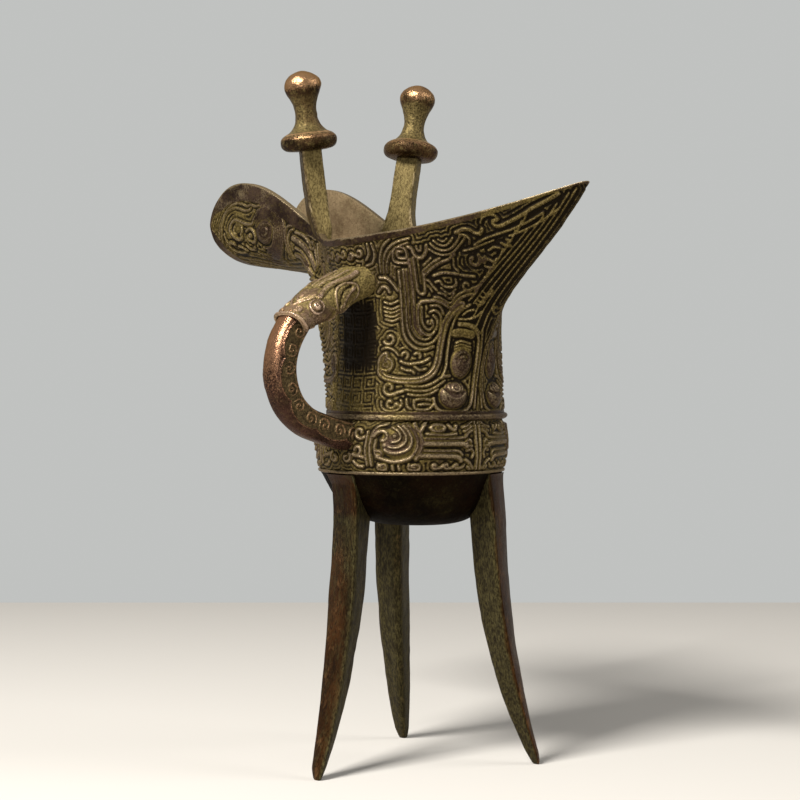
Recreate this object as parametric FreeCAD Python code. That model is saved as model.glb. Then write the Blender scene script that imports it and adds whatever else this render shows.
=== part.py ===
import FreeCAD, Part
import math
import os

# Bronze jue: a three-legged ritual wine vessel, cast in bronze.
# Millimetres, +Z up, spout towards -X, tail towards +X, handle towards -Y.
# The shapes are built about the cup's own axis with the feet at z = 0, and are
# moved at the end so that the origin is the middle of the footprint.

Vector = FreeCAD.Vector

# heights, from the floor up
leg_height = 80.0            # floor to the line under the lower band
belly_height = 14.8          # lower band, up to the bead round the waist
upper_wall_height = 48.1     # waist bead to the lowest point of the rim
tail_rise = 12.6             # how far the tail's tip stands above the low rim
spout_rise = 19.0            # how far the spout's crest stands above the low rim

# cup
cup_radius = 24.2            # outside of the upper wall
wall = 2.0                   # thickness of the cast wall
inner_step = 0.15            # the lower band is this much thicker inside than the upper wall
belly_bulge = 1.4            # how far the lower band swells past the upper wall
band_edge = 0.6              # how far the band's two ends stand past the upper wall
base_line_height = 1.2       # thin raised line under the lower band
bead_bulge = 1.5             # how far the bead round the waist stands out
bead_height = 2.6
bead_round = 1.2             # radius of the bead's rounded edges
dome_inset = 0.7             # the round bottom starts this far inside the upper wall
dome_depth = 14.6            # how far the round bottom hangs below the band
dome_corner = 11.0           # radius at its side, tighter than the crown in its middle
rim_flare = 2.0              # how much wider the cup is at its low rim
flare_height = 23.0          # length of wall over which it opens

# tail: a pointed leaf that runs out of the cup towards +X
tail_reach = 63.4            # axis to the tip
keel_height = 41.5           # height of the keel under the tail, measured at the tip
keel_start_blend = 5.0       # soft start of the keel on the wall
keel_bow = 0.03              # the keel is a little hollow below and full above
keel_sharpness = 0.045       # radians over which the keel's edge is rounded
rim_sweep = 1.45             # power of the tail's rising rim

# spout: an open channel with a round bottom and a tongue-shaped end
spout_reach = 72.2           # axis to the end of the spout
spout_half_width = 16.3
crest_inset = 14.4           # crest of the spout's rim, back from its end
end_half_height = 12.4       # half the height of the rounded end
rim_dip = 7.0                # level stretch of rim beside the handle
channel_depth = 12.0         # height of the channel's round bottom
floor_drop = 9.2             # underside of the spout below the low rim
floor_rise = 5.2             # rise of that underside from cup to end
throat_drop = 16.4           # how far the underside dips as it meets the cup
throat_length = 4.6
corner_blend = 6.0           # soft inner corner between spout and cup

# legs: three blades with a flat outer face and a ridge inside
leg_width = 10.8             # outer face, at the top
foot_width = 4.2             # outer face, at the foot
leg_proud = 0.1              # how far the top of the outer face stands past the cup
ridge_top_depth = 9.6        # face to ridge, at the top
ridge_foot_depth = 3.2
leg_splay_power = 2.3        # the blade hangs straight, then kicks outwards
leg_taper_power = 1.9        # of the outer face's width
ridge_taper_power = 3.2      # of the depth from face to ridge
leg_root = 3.0               # extra depth where the ridge runs into the bowl
leg_root_height = 20.0
leg_edge = 0.7               # small flats along the three edges
handle_leg_kick = 14.1       # how far the foot stands outside the top of its leg
tail_leg_kick = 10.1
spout_leg_kick = 9.3
# name, angle of the top, angle of the foot, kick
legs = (
    ("leg_handle_side", -96.0, -87.0, handle_leg_kick),
    ("leg_tail_side", 25.0, 38.0, tail_leg_kick),
    ("leg_spout_side", 154.5, 143.5, spout_leg_kick),
)

# handle: a ring-shaped loop under an animal's head
loop_thickness = 8.4         # outwards
loop_width = 8.0             # along X
loop_corner = 3.4
loop_radius = 14.3           # centre line of the bend
loop_standoff = 10.2         # wall to the centre of the bend
loop_drop = 3.0              # centre of the loop's lower arm, under the waist bead
loop_top_angle = 127.0       # where the loop ends inside the mouth
loop_root = 0.9              # how far the lower arm is let into the wall
head_length = 22.0           # wall to snout
head_height = 14.0
head_width = 14.6
head_rise = 35.2             # middle of the head at the wall, above the waist bead
head_slope = 9.6             # how much lower the snout is
snout_width = 9.6
snout_height = 3.6
eye_radius = 2.0
horn_length = 5.4

# posts and caps
post_height = 21.2           # rim to the underside of the cap
post_width = 6.6             # along the rim
post_depth = 5.8             # across the rim
post_edge = 1.1              # bevel along its edges
post_lean = 8.6              # degrees outwards
post_turn = 30.0             # degrees, so that its face follows the rim
post_foot_width = 12.0       # where it spreads onto the inner wall
post_foot_length = 10.0      # how far it runs down inside the rim
post_toe_depth = 1.4         # thickness of the lowest end of its foot
post_foot_depth = 2.8        # thickness of the foot half way up
spigot_radius = 2.2
spigot_length = 6.5
spigot_clearance = 0.1
cap_height = 21.6
collar_radius = 7.7
collar_height = 3.6          # underside of the cap to the collar's edge
cap_waist_radius = 3.0
cap_waist_height = 9.8
knob_radius = 4.95
knob_drop = 3.7              # top of the knob to its widest place
knob_corner = 2.4            # radius round its shoulder

# how finely the curved walls are laid out
rim_columns = 44
wall_rows = 24
line_samples = 120
rim_samples = 120

belly_radius = cup_radius + belly_bulge
band_edge_radius = cup_radius + band_edge
bead_radius = cup_radius + bead_bulge
dome_radius = cup_radius - dome_inset
dome_z = leg_height - band_edge
waist_z = leg_height + belly_height
rim_z = waist_z + upper_wall_height
tail_z = rim_z + tail_rise
crest_z = rim_z + spout_rise
crest_x = spout_reach - crest_inset
keel_z = tail_z - keel_height


def solve(function, low, high):
    """Where a rising function crosses zero between low and high."""
    for _ in range(46):
        middle = 0.5 * (low + high)
        if function(middle) < 0:
            low = middle
        else:
            high = middle
    return 0.5 * (low + high)


def soft_max(a, b, blend):
    """The larger of two lengths, with a fillet where they are nearly equal."""
    near = max(blend - abs(a - b), 0.0) / blend
    return max(a, b) + near * near * blend / 4


# ---- the vessel's wall, as a distance from the axis at any angle and height

def cup_reach(z, inset):
    opening = max(z - (rim_z - flare_height), 0.0) / flare_height
    return cup_radius + rim_flare * opening ** 2 - inset


def keel_reach(z, inset):
    run = soft_max(z - keel_z, 0.0, keel_start_blend) / keel_height
    run -= keel_bow * math.sin(2 * math.pi * min(run, 1.0))
    reach = cup_radius + (tail_reach - cup_radius) * run
    return reach * cup_reach(z, inset) / cup_reach(z, 0.0)


def tail_slice(angle, z, inset):
    """The cup's circle drawn out to the keel by two straight sides."""
    radius = cup_reach(z, inset)
    tip = max(keel_reach(z, inset), radius * 1.0001)
    tangent = math.acos(radius / tip)
    off_keel = math.sqrt(angle ** 2 + keel_sharpness ** 2) - keel_sharpness
    return radius / math.cos(max(tangent - off_keel, 0.0))


def spout_floor(x):
    past_cup = x - cup_radius
    slope = floor_rise / (spout_reach - cup_radius)
    outside = max(past_cup, 0.0) / throat_length
    inside = min(past_cup, 0.0) / throat_length
    throat = throat_drop * (math.exp(-outside) - inside)
    return rim_z - floor_drop + slope * past_cup - throat


def spout_slice(angle, z, inset):
    """How far the spout's channel reaches along one direction."""
    along = max(-math.cos(angle), 1e-6)
    across = max(abs(math.sin(angle)), 1e-6)
    half = spout_half_width - inset
    depth = channel_depth * half / spout_half_width

    def above_wall(reach):
        side = min(reach * across / half, 1.0)
        return spout_floor(reach * along) + inset + depth * (1 - math.sqrt(1 - side * side)) - z
    return min(solve(above_wall, 0.0, 2 * spout_reach), half / across)


def wall_reach(angle, z, inset):
    reach = tail_slice(angle, z, inset)
    if math.cos(angle) < -0.05:
        reach = soft_max(reach, spout_slice(angle, z, inset), corner_blend)
    return reach


def evenly_spaced(points, steps, exact):
    """The same run of points at equal steps, each put back on the wall by exact(x, z)."""
    lengths = [0.0]
    for first, second in zip(points, points[1:]):
        lengths.append(lengths[-1] + (second - first).Length)
    chosen = [points[0]]
    index = 1
    for step in range(1, steps):
        wanted = lengths[-1] * step / steps
        while lengths[index] < wanted:
            index += 1
        share = (wanted - lengths[index - 1]) / (lengths[index] - lengths[index - 1])
        between = points[index - 1] + (points[index] - points[index - 1]) * share
        chosen.append(exact(between.x, between.z))
    return chosen + [points[-1]]


# ---- the rim, drawn in side view and carried out to the wall

def rim_height(x):
    if x >= 0:
        return rim_z + tail_rise * (x / tail_reach) ** rim_sweep
    run = (-x - rim_dip) / (crest_x - rim_dip)
    return rim_z + spout_rise * (1 - math.cos(math.pi * max(run, 0.0))) / 2


def spout_end(turn):
    x = -crest_x + crest_inset * math.cos(turn)
    z = crest_z - end_half_height + end_half_height * math.sin(turn)
    return x, z


def wall_half_width(x, z, inset):
    def outside(y):
        return math.hypot(x, y) - wall_reach(math.atan2(y, x), z, inset)
    return solve(outside, 0.0, spout_half_width + cup_radius)


def rim_points(inset):
    """From the tail's tip, along the handle's side, to the middle of the spout's end."""
    tip = solve(lambda x: x - keel_reach(rim_height(x), inset), 0.0, 2 * tail_reach)
    bottom = solve(lambda turn: spout_floor(-spout_end(turn)[0]) + inset - spout_end(turn)[1],
                   math.pi, 1.5 * math.pi)
    side_view = []
    for i in range(rim_samples):
        x = tip + (-crest_x - tip) * i / rim_samples
        side_view.append((x, rim_height(x)))
    for i in range(rim_samples + 1):
        side_view.append(spout_end(math.pi / 2 + (bottom - math.pi / 2) * i / rim_samples))
    rim = [Vector(x, -wall_half_width(x, z, inset), z) for x, z in side_view]
    rim[0].y = rim[-1].y = 0.0
    return evenly_spaced(rim, rim_columns, lambda x, z: Vector(x, -wall_half_width(x, z, inset), z))


def wall_line(rim_point, inset):
    """Evenly spaced points up the wall, from the waist to one point of the rim."""
    x, y, top = rim_point.x, rim_point.y, rim_point.z
    angle = math.atan2(y, x) if abs(y) > 1e-9 else (0.0 if x > 0 else -math.pi)

    def place(z):
        reach = wall_reach(angle, z, inset)
        return Vector(reach * math.cos(angle), reach * math.sin(angle), z)
    levels = [waist_z + (top - waist_z) * i / line_samples for i in range(line_samples + 1)]
    points = [place(z) for z in levels]
    line = evenly_spaced(points, wall_rows, lambda x, z: place(z))
    if abs(y) < 1e-9:
        line = [Vector(point.x, 0.0, point.z) for point in line]
    return line


def mirrored(shape):
    return shape.mirror(Vector(0, 0, 0), Vector(0, 1, 0))


def wall_surface(inset):
    surface = Part.BSplineSurface()
    surface.interpolate([wall_line(point, inset) for point in rim_points(inset)])
    return surface


def upper_wall():
    outer = wall_surface(0.0)
    inner = wall_surface(wall)
    _, _, low, high = outer.bounds()
    outer_rim = outer.vIso(high).toShape()
    outer_foot = outer.vIso(low).toShape()
    _, _, low, high = inner.bounds()
    inner_rim = inner.vIso(high).toShape()
    inner_foot = inner.vIso(low).toShape()
    half = [outer.toShape(), inner.toShape(), Part.makeRuledSurface(outer_rim, inner_rim, 1)]
    seat = [Part.Wire([edge, mirrored(edge)]) for edge in (outer_foot, inner_foot)]
    faces = half + [mirrored(face) for face in half]
    faces.append(Part.makeFace(seat, "Part::FaceMakerBullseye"))
    shell = Part.makeCompound(faces)
    shell.sewShape(0.001)
    return Part.makeSolid(shell.Shells[0])


def revolved(points_and_curves):
    return Part.Face(Part.Wire(points_and_curves)).revolve(Vector(0, 0, 0), Vector(0, 0, 1), 360)


def dome_arcs(radius, depth, corner, edge_z, way):
    """A round corner and a flatter crown, from a dome's upright edge to the axis; way 1 is up, -1 down."""
    crown = ((radius - corner) ** 2 + depth ** 2 - corner ** 2) / (2 * (depth - corner))
    corner_centre = Vector(radius - corner, 0, edge_z)
    crown_centre = Vector(0, 0, edge_z + way * (depth - crown))
    pole = Vector(0, 0, way)
    out = (corner_centre - crown_centre).normalize()
    edge = Vector(radius, 0, edge_z)
    joint = corner_centre + out * corner
    tip = crown_centre + pole * crown
    in_corner = corner_centre + (out + Vector(1, 0, 0)).normalize() * corner
    in_crown = crown_centre + (out + pole).normalize() * crown
    return [Part.Arc(edge, in_corner, joint).toShape(), Part.Arc(joint, in_crown, tip).toShape()]


def line_through(*points):
    return [Part.LineSegment(a, b).toShape() for a, b in zip(points, points[1:])]


def bowl_space():
    """The space inside the round bottom and the lower band."""
    arcs = dome_arcs(dome_radius - wall, dome_depth - wall, dome_corner - wall, dome_z, -1)
    low = Vector(dome_radius - wall, 0, dome_z)
    step = Vector(low.x, 0, leg_height + wall)
    neck = Vector(cup_radius - wall - inner_step, 0, leg_height + 2 * wall)
    top = Vector(neck.x, 0, waist_z + wall)
    floor = Vector(0, 0, dome_z - dome_depth + wall)
    return revolved(arcs + line_through(low, step, neck, top, Vector(0, 0, top.z), floor))


def outer_bowl():
    """Round bottom, the thin line under the band, and the swelling band."""
    arcs = dome_arcs(dome_radius, dome_depth, dome_corner, dome_z, -1)
    dome_edge = Vector(dome_radius, 0, dome_z)
    line_low = Vector(band_edge_radius, 0, leg_height)
    line_top = Vector(band_edge_radius, 0, leg_height + base_line_height)
    band_middle = Vector(belly_radius, 0, leg_height + 0.5 * belly_height)
    band_top = Vector(band_edge_radius, 0, waist_z)
    sides = line_through(dome_edge, line_low, line_top)
    sides.append(Part.Arc(line_top, band_middle, band_top).toShape())
    sides += line_through(band_top, Vector(0, 0, waist_z), Vector(0, 0, dome_z - dome_depth))
    return revolved(arcs + sides)


def waist_bead():
    ring = Part.makeCylinder(bead_radius, bead_height, Vector(0, 0, waist_z - bead_height / 2))
    bore = Part.makeCylinder(cup_radius - wall / 2, 2 * bead_height, Vector(0, 0, waist_z - bead_height))
    ring = ring.cut(bore)
    outer_edges = []
    for edge in ring.Edges:
        if edge.Curve.TypeId == "Part::GeomCircle" and edge.Curve.Radius > cup_radius:
            outer_edges.append(edge)
    return ring.makeFillet(bead_round, outer_edges)


def vessel_body():
    bowl = outer_bowl().cut(bowl_space())
    body = bowl.fuse([upper_wall(), waist_bead()])
    return body.removeSplitter()


# ---- sections shared by the legs, the loop, the head and the posts

def bevelled_section(width, depth, edge, centre, side, out):
    """A rectangle with bevelled corners; width lies along side, depth along out."""
    half_w, half_d = width / 2, depth / 2
    corners = []
    for sign_w, sign_d, first in ((1, 1, True), (-1, 1, False), (-1, -1, True), (1, -1, False)):
        cut_w = centre + side * (sign_w * (half_w - edge)) + out * (sign_d * half_d)
        cut_d = centre + side * (sign_w * half_w) + out * (sign_d * (half_d - edge))
        corners += [cut_d, cut_w] if first else [cut_w, cut_d]
    return Part.makePolygon(corners + [corners[0]])


def rounded_section(width, depth, corner, centre, side, out):
    """A rectangle with round corners; width lies along side, depth along out."""
    half_w, half_d = width / 2 - corner, depth / 2 - corner
    edges = []
    bend = corner * math.sqrt(0.5)
    previous = None
    first = None
    for sign_w, sign_d, along_first in ((1, 1, False), (-1, 1, True), (-1, -1, False), (1, -1, True)):
        hub = centre + side * (sign_w * half_w) + out * (sign_d * half_d)
        on_side = hub + side * (sign_w * corner)
        on_out = hub + out * (sign_d * corner)
        middle = hub + side * (sign_w * bend) + out * (sign_d * bend)
        start, end = (on_out, on_side) if along_first else (on_side, on_out)
        if previous is not None:
            edges.append(Part.LineSegment(previous, start).toShape())
        edges.append(Part.Arc(start, middle, end).toShape())
        first = first or start
        previous = end
    edges.append(Part.LineSegment(previous, first).toShape())
    return Part.Wire(edges)


def largest(shape):
    return max(shape.Solids, key=lambda solid: solid.Volume)


# ---- legs

def leg_section(z, top_angle, foot_angle, foot_kick):
    """A triangle with its flat side outwards and its edges taken off."""
    fall = (leg_height - z) / leg_height
    top = Vector(math.cos(math.radians(top_angle)), math.sin(math.radians(top_angle)), 0)
    foot = Vector(math.cos(math.radians(foot_angle)), math.sin(math.radians(foot_angle)), 0)
    bend = fall ** leg_splay_power
    top_radius = cup_radius + leg_proud
    face = top * top_radius * (1 - bend) + foot * (top_radius + foot_kick) * bend
    face.z = z
    width = leg_width + (foot_width - leg_width) * fall ** leg_taper_power
    depth = ridge_top_depth + (ridge_foot_depth - ridge_top_depth) * fall ** ridge_taper_power
    depth += leg_root * max(1 - (leg_height - z) / leg_root_height, 0.0) ** 2
    out = (top * (1 - fall) + foot * fall).normalize()
    side = Vector(-out.y, out.x, 0)
    half = width / 2
    slope = leg_edge * (half - leg_edge) / depth
    corners = [
        face + side * (half - leg_edge),
        face - side * (half - leg_edge),
        face - side * half - out * leg_edge,
        face - side * (leg_edge + slope) - out * (depth - leg_edge),
        face + side * (leg_edge + slope) - out * (depth - leg_edge),
        face + side * half - out * leg_edge,
    ]
    return Part.makePolygon(corners + [corners[0]])


def leg(top_angle, foot_angle, foot_kick, bowl):
    sections = []
    for share in (1.0, 0.9, 0.8, 0.7, 0.58, 0.44, 0.3, 0.18, 0.08, 0.0):
        sections.append(leg_section(leg_height * share, top_angle, foot_angle, foot_kick))
    blade = Part.makeLoft(sections, True, False)
    return largest(blade.cut(bowl))


# ---- handle

def handle_loop(body):
    arm_z = waist_z - loop_drop
    bend_y = -(cup_radius + loop_standoff)
    centre = Vector(0, bend_y, arm_z + loop_radius)

    def on_bend(degrees):
        turn = math.radians(degrees)
        return centre + Vector(0, loop_radius * math.cos(turn), loop_radius * math.sin(turn))
    start = Vector(0, -(belly_radius - loop_root), arm_z)
    straight = Part.LineSegment(start, on_bend(270)).toShape()
    bend = Part.Arc(on_bend(270), on_bend(200), on_bend(loop_top_angle)).toShape()
    section = rounded_section(loop_width, loop_thickness, loop_corner, start,
                              Vector(1, 0, 0), Vector(0, 0, 1))
    loop = Part.Wire([straight, bend]).makePipeShell([section], True, False)
    return largest(loop.cut(body))


def head_section(share, width, height, centre_z):
    y = -(cup_radius + head_length * share)
    centre = Vector(0, y, centre_z)
    return rounded_section(width, height, 0.38 * min(width, height), centre,
                           Vector(1, 0, 0), Vector(0, 0, 1))


def handle_head(body, loop):
    root_z = waist_z + head_rise
    sections = [
        head_section(-0.08, 0.86 * head_width, 0.82 * head_height, root_z + 0.2),
        head_section(0.08, 0.9 * head_width, 0.86 * head_height, root_z - 0.08 * head_slope),
        head_section(0.3, 0.98 * head_width, 0.96 * head_height, root_z - 0.38 * head_slope),
        head_section(0.54, head_width, head_height, root_z - 0.7 * head_slope),
        head_section(0.75, 0.92 * head_width, 0.78 * head_height, root_z - 0.9 * head_slope),
        head_section(0.9, 0.8 * head_width, 0.5 * head_height, root_z - 0.98 * head_slope),
        head_section(1.0, snout_width, snout_height, root_z - head_slope),
    ]
    head = Part.makeLoft(sections, True, False)
    extras = []
    for side in (-1, 1):
        eye_y = -(cup_radius + 0.7 * head_length)
        extras.append(Part.makeSphere(eye_radius, Vector(side * 0.38 * head_width, eye_y,
                                                         root_z - 0.56 * head_slope)))
        horn_root = Vector(side * 0.36 * head_width, -(cup_radius + 0.3 * head_length),
                           root_z + 0.1 * head_height)
        horn = Part.makeCone(0.42 * horn_length, 0.2 * horn_length, horn_length, horn_root,
                             Vector(side * 0.7, 0.7, 0.2))
        extras.append(horn)
        extras.append(Part.makeSphere(0.42 * horn_length, horn_root))
    head = head.fuse(extras)
    return largest(head.cut(loop).cut(body))


# ---- posts and caps, built upright over their seat and then leaned

def post_seat():
    x = -(cup_radius - 0.4 * wall)
    return Vector(x, -(spout_half_width - wall / 2), rim_height(x))


def leaned(shape, seat):
    shape = shape.copy()
    shape.rotate(Vector(0, 0, 0), Vector(1, 0, 0), post_lean)
    shape.translate(seat)
    return shape


def post(body):
    seat = post_seat()
    turn = math.radians(post_turn)
    side = Vector(math.cos(turn), -math.sin(turn), 0)
    out = Vector(-math.sin(turn), -math.cos(turn), 0)
    spread = post_foot_width - post_width
    inner_face = -0.5 * post_depth
    # height over the rim, width, depth; the inner face sinks into the wall below the rim
    outline = (
        (-post_foot_length, post_width + spread, post_toe_depth, -0.7 * post_toe_depth - 0.2 * wall),
        (-0.5 * post_foot_length, post_width + 0.9 * spread, post_foot_depth,
         -0.7 * post_foot_depth),
        (0.0, post_width + 0.55 * spread, 0.86 * post_depth, inner_face),
        (0.2 * post_height, post_width + 0.16 * spread, 0.95 * post_depth, inner_face),
        (0.4 * post_height, post_width + 0.04 * spread, 0.98 * post_depth, inner_face),
        (0.6 * post_height, post_width, post_depth, inner_face),
        (0.8 * post_height, 0.97 * post_width, 0.98 * post_depth, 0.98 * inner_face),
        (post_height, 0.94 * post_width, 0.96 * post_depth, 0.96 * inner_face),
    )
    sections = []
    for height, width, depth, inner in outline:
        centre = Vector(0, 0, height) + out * (inner + depth / 2)
        sections.append(bevelled_section(width, depth, min(post_edge, 0.3 * depth), centre, side, out))
    shaft = Part.makeLoft(sections, True, False)
    spigot = Part.makeCylinder(spigot_radius, spigot_length + 1, Vector(0, 0, post_height - 1))
    shaft = leaned(shaft.fuse(spigot), seat)
    return largest(shaft.cut(body))


def cap():
    """A flared collar, a hollowed waist and a rounded knob, over a blind socket."""
    underside = Vector(0.48 * collar_radius, 0, 0)
    collar_low = Vector(0.82 * collar_radius, 0, 0.4 * collar_height)
    collar_edge = Vector(collar_radius, 0, collar_height)
    collar_top = Vector(0.9 * collar_radius, 0, 1.35 * collar_height)
    collar_turn = Vector(0.985 * collar_radius, 0, 1.24 * collar_height)
    hollow = Vector(0.56 * collar_radius, 0, 0.5 * collar_top.z + 0.5 * cap_waist_height)
    waist = Vector(cap_waist_radius, 0, cap_waist_height)
    knob_side = Vector(knob_radius, 0, cap_height - knob_drop)
    knob_swell = (waist + knob_side) * 0.5 + Vector(0.06 * knob_radius, 0, 0)
    top = Vector(0, 0, cap_height)
    arcs = [
        Part.Arc(underside, collar_low, collar_edge).toShape(),
        Part.Arc(collar_edge, collar_turn, collar_top).toShape(),
        Part.Arc(collar_top, hollow, waist).toShape(),
        Part.Arc(waist, knob_swell, knob_side).toShape(),
    ]
    arcs += dome_arcs(knob_radius, knob_drop, knob_corner, knob_side.z, 1)
    depth = spigot_length + spigot_clearance
    socket = spigot_radius + spigot_clearance
    bore = line_through(top, Vector(0, 0, depth), Vector(socket, 0, depth), Vector(socket, 0, 0), underside)
    knob = revolved(arcs + bore)
    knob.translate(Vector(0, 0, post_height))
    return leaned(knob, post_seat())


def build():
    body = vessel_body()
    bowl = outer_bowl()
    loop = handle_loop(body)
    near_post = post(body)
    near_cap = cap()
    pieces = {
        "vessel_body": body,
        "handle_loop": loop,
        "handle_head": handle_head(body, loop),
        "post_handle_side": near_post,
        "post_far_side": mirrored(near_post),
        "cap_handle_side": near_cap,
        "cap_far_side": mirrored(near_cap),
    }
    for name, top_angle, foot_angle, foot_kick in legs:
        pieces[name] = leg(top_angle, foot_angle, foot_kick, bowl)
    return pieces


def write(pieces):
    box = FreeCAD.BoundBox()
    for shape in pieces.values():
        box.add(shape.optimalBoundingBox(False, False))
    home = Vector(-box.Center.x, -box.Center.y, -box.ZMin)
    os.makedirs("parts", exist_ok=True)
    for name, shape in pieces.items():
        placed = shape.copy()
        placed.translate(home)
        placed.exportStep("parts/" + name + ".step")
        print(name, "valid" if placed.isValid() else "INVALID", len(placed.Solids), "solid",
              round(placed.Volume, 1), "mm3")
    print("size", round(box.XLength, 2), round(box.YLength, 2), round(box.ZLength, 2))
    print("axis at", round(home.x, 3), round(home.y, 3), round(home.z, 3))


write(build())
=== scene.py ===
import bpy
import math
import numpy as np
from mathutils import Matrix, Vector


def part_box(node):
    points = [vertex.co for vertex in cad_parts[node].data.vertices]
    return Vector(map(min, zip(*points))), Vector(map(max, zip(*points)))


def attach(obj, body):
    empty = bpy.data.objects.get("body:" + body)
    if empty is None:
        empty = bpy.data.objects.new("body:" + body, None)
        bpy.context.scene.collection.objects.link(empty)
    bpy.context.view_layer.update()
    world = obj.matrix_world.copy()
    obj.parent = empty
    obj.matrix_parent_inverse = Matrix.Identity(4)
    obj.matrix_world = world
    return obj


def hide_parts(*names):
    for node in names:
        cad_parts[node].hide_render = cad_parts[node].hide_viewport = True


# Bronze jue: the carved surface and the patina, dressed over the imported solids.
# Everything is laid out in millimetres about the cup's axis, feet at z = 0,
# and goes to metres in the row's frame when a mesh is made.

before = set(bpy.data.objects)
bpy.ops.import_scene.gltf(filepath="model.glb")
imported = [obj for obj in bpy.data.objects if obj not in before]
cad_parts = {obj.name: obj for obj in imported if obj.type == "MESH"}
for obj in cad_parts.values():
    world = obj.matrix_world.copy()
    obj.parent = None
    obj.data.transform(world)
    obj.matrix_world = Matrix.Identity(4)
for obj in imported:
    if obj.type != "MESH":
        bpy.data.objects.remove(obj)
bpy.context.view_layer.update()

# the loop is centred on the axis in x, the two posts in y
loopLow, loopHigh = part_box("handle_loop")
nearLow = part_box("post_handle_side")[0]
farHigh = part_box("post_far_side")[1]
axis = np.array([(loopLow.x + loopHigh.x) / 2, (nearLow.y + farHigh.y) / 2, 0.0])
print("frame loaded, axis at", axis.round(5))


def inRow(points):
    return np.asarray(points, float) / 1000 + axis


def smoothStep(a, b, t):
    t = np.clip((t - a) / (b - a), 0, 1)
    return t * t * (3 - 2 * t)


def unit(vectors):
    return vectors / (np.linalg.norm(vectors, axis=-1, keepdims=True) + 1e-12)


def between(table, column, row):
    # value of a table at places that fall between its entries
    column = np.clip(column, 0, table.shape[1] - 1.001)
    row = np.clip(row, 0, table.shape[0] - 1.001)
    c, r = column.astype(int), row.astype(int)
    right, up = column - c, row - r
    return ((table[r, c] * (1 - right) + table[r, c + 1] * right) * (1 - up)
            + (table[r + 1, c] * (1 - right) + table[r + 1, c + 1] * right) * up)


def curved(table, places):
    # smooth curve through the rows of a table whose first column is the place
    table = np.array(table, float)
    slopes = np.gradient(table[:, 1:], table[:, 0], axis=0)
    i = np.clip(np.searchsorted(table[:, 0], places, side="right") - 1, 0, len(table) - 2)
    gap = (table[i + 1, 0] - table[i, 0])[:, None]
    t = ((places - table[i, 0]) / gap[:, 0])[:, None]
    low, high = table[i, 1:], table[i + 1, 1:]
    return ((2 * t ** 3 - 3 * t ** 2 + 1) * low + (t ** 3 - 2 * t ** 2 + t) * gap * slopes[i]
            + (3 * t ** 2 - 2 * t ** 3) * high + (t ** 3 - t ** 2) * gap * slopes[i + 1])


def flowing(points, spacing=0.25):
    # a smooth line through given points, with new points about spacing mm apart
    points = np.array(points, float)
    padded = np.vstack([2 * points[0] - points[1], points, 2 * points[-1] - points[-2]])
    drawn = []
    for a, b, c, d in zip(padded, padded[1:], padded[2:], padded[3:]):
        count = max(int(np.hypot(*(c - b)) / spacing), 1)
        t = np.arange(count)[:, None] / count
        drawn.append(0.5 * (2 * b + (c - a) * t + (2 * a - 5 * b + 4 * c - d) * t ** 2
                            + (3 * b - a - 3 * c + d) * t ** 3))
    return np.vstack(drawn + [points[-1:]])


def curl(centre, inner, outer, start, sweep):
    # points of a spiral, from its eye outwards; degrees, sweep > 0 turns anticlockwise
    count = max(int(abs(sweep) / 40), 3)
    t = np.linspace(0, 1, count + 1)
    turn = np.radians(start + sweep * t)
    radius = inner + (outer - inner) * t
    return [(centre[0] + r * math.cos(a), centre[1] + r * math.sin(a)) for r, a in zip(radius, turn)]


def valueNoise(points, size, seed):
    # smooth noise in space, -1 to 1, with features about size mm across
    lattice = np.random.default_rng(seed).uniform(-1, 1, (32, 32, 32))
    place = np.asarray(points) / size
    whole = np.floor(place).astype(int)
    part = place - whole
    part = part * part * (3 - 2 * part)
    total = 0
    for corner in np.ndindex(2, 2, 2):
        x, y, z = np.moveaxis((whole + corner) % 32, -1, 0)
        wx, wy, wz = np.moveaxis(np.where(corner, part, 1 - part), -1, 0)
        total = total + lattice[x, y, z] * (wx * wy * wz)
    return total


def blurred(image, reach):
    # three box blurs
    for _ in range(3):
        for side in (0, 1):
            padded = np.pad(image, [(reach + 1, reach) if side == s else (0, 0) for s in (0, 1)], mode="edge")
            total = np.cumsum(padded, axis=side)
            ahead = np.take(total, range(2 * reach + 1, total.shape[side]), axis=side)
            behind = np.take(total, range(0, total.shape[side] - 2 * reach - 1), axis=side)
            image = (ahead - behind) / (2 * reach + 1)
    return image


def crests(rise, reach, gain):
    # where a relief stands above its surroundings
    return np.clip((rise - blurred(rise, reach)) * gain, 0, 1)


def gridQuads(rows, columns, closed=False):
    # vertex index = row * columns + column; closed joins the last column to the first
    lastColumn = columns if closed else columns - 1
    r, c = np.meshgrid(np.arange(rows - 1), np.arange(lastColumn), indexing="ij")
    nextC = (c + 1) % columns
    return np.stack([r * columns + c, r * columns + nextC,
                     (r + 1) * columns + nextC, (r + 1) * columns + c], -1).reshape(-1, 4)


def tube(rings):
    # closed skin over rings of points, shape (rings, around, 3)
    rings = np.asarray(rings, float)
    count, around = rings.shape[:2]
    ends = [list(range(around))[::-1], [(count - 1) * around + i for i in range(around)]]
    return rings.reshape(-1, 3), (gridQuads(count, around, closed=True), ends)


def turnedOver(faces):
    quads, others = faces
    return quads[:, ::-1], [face[::-1] for face in others]


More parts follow.
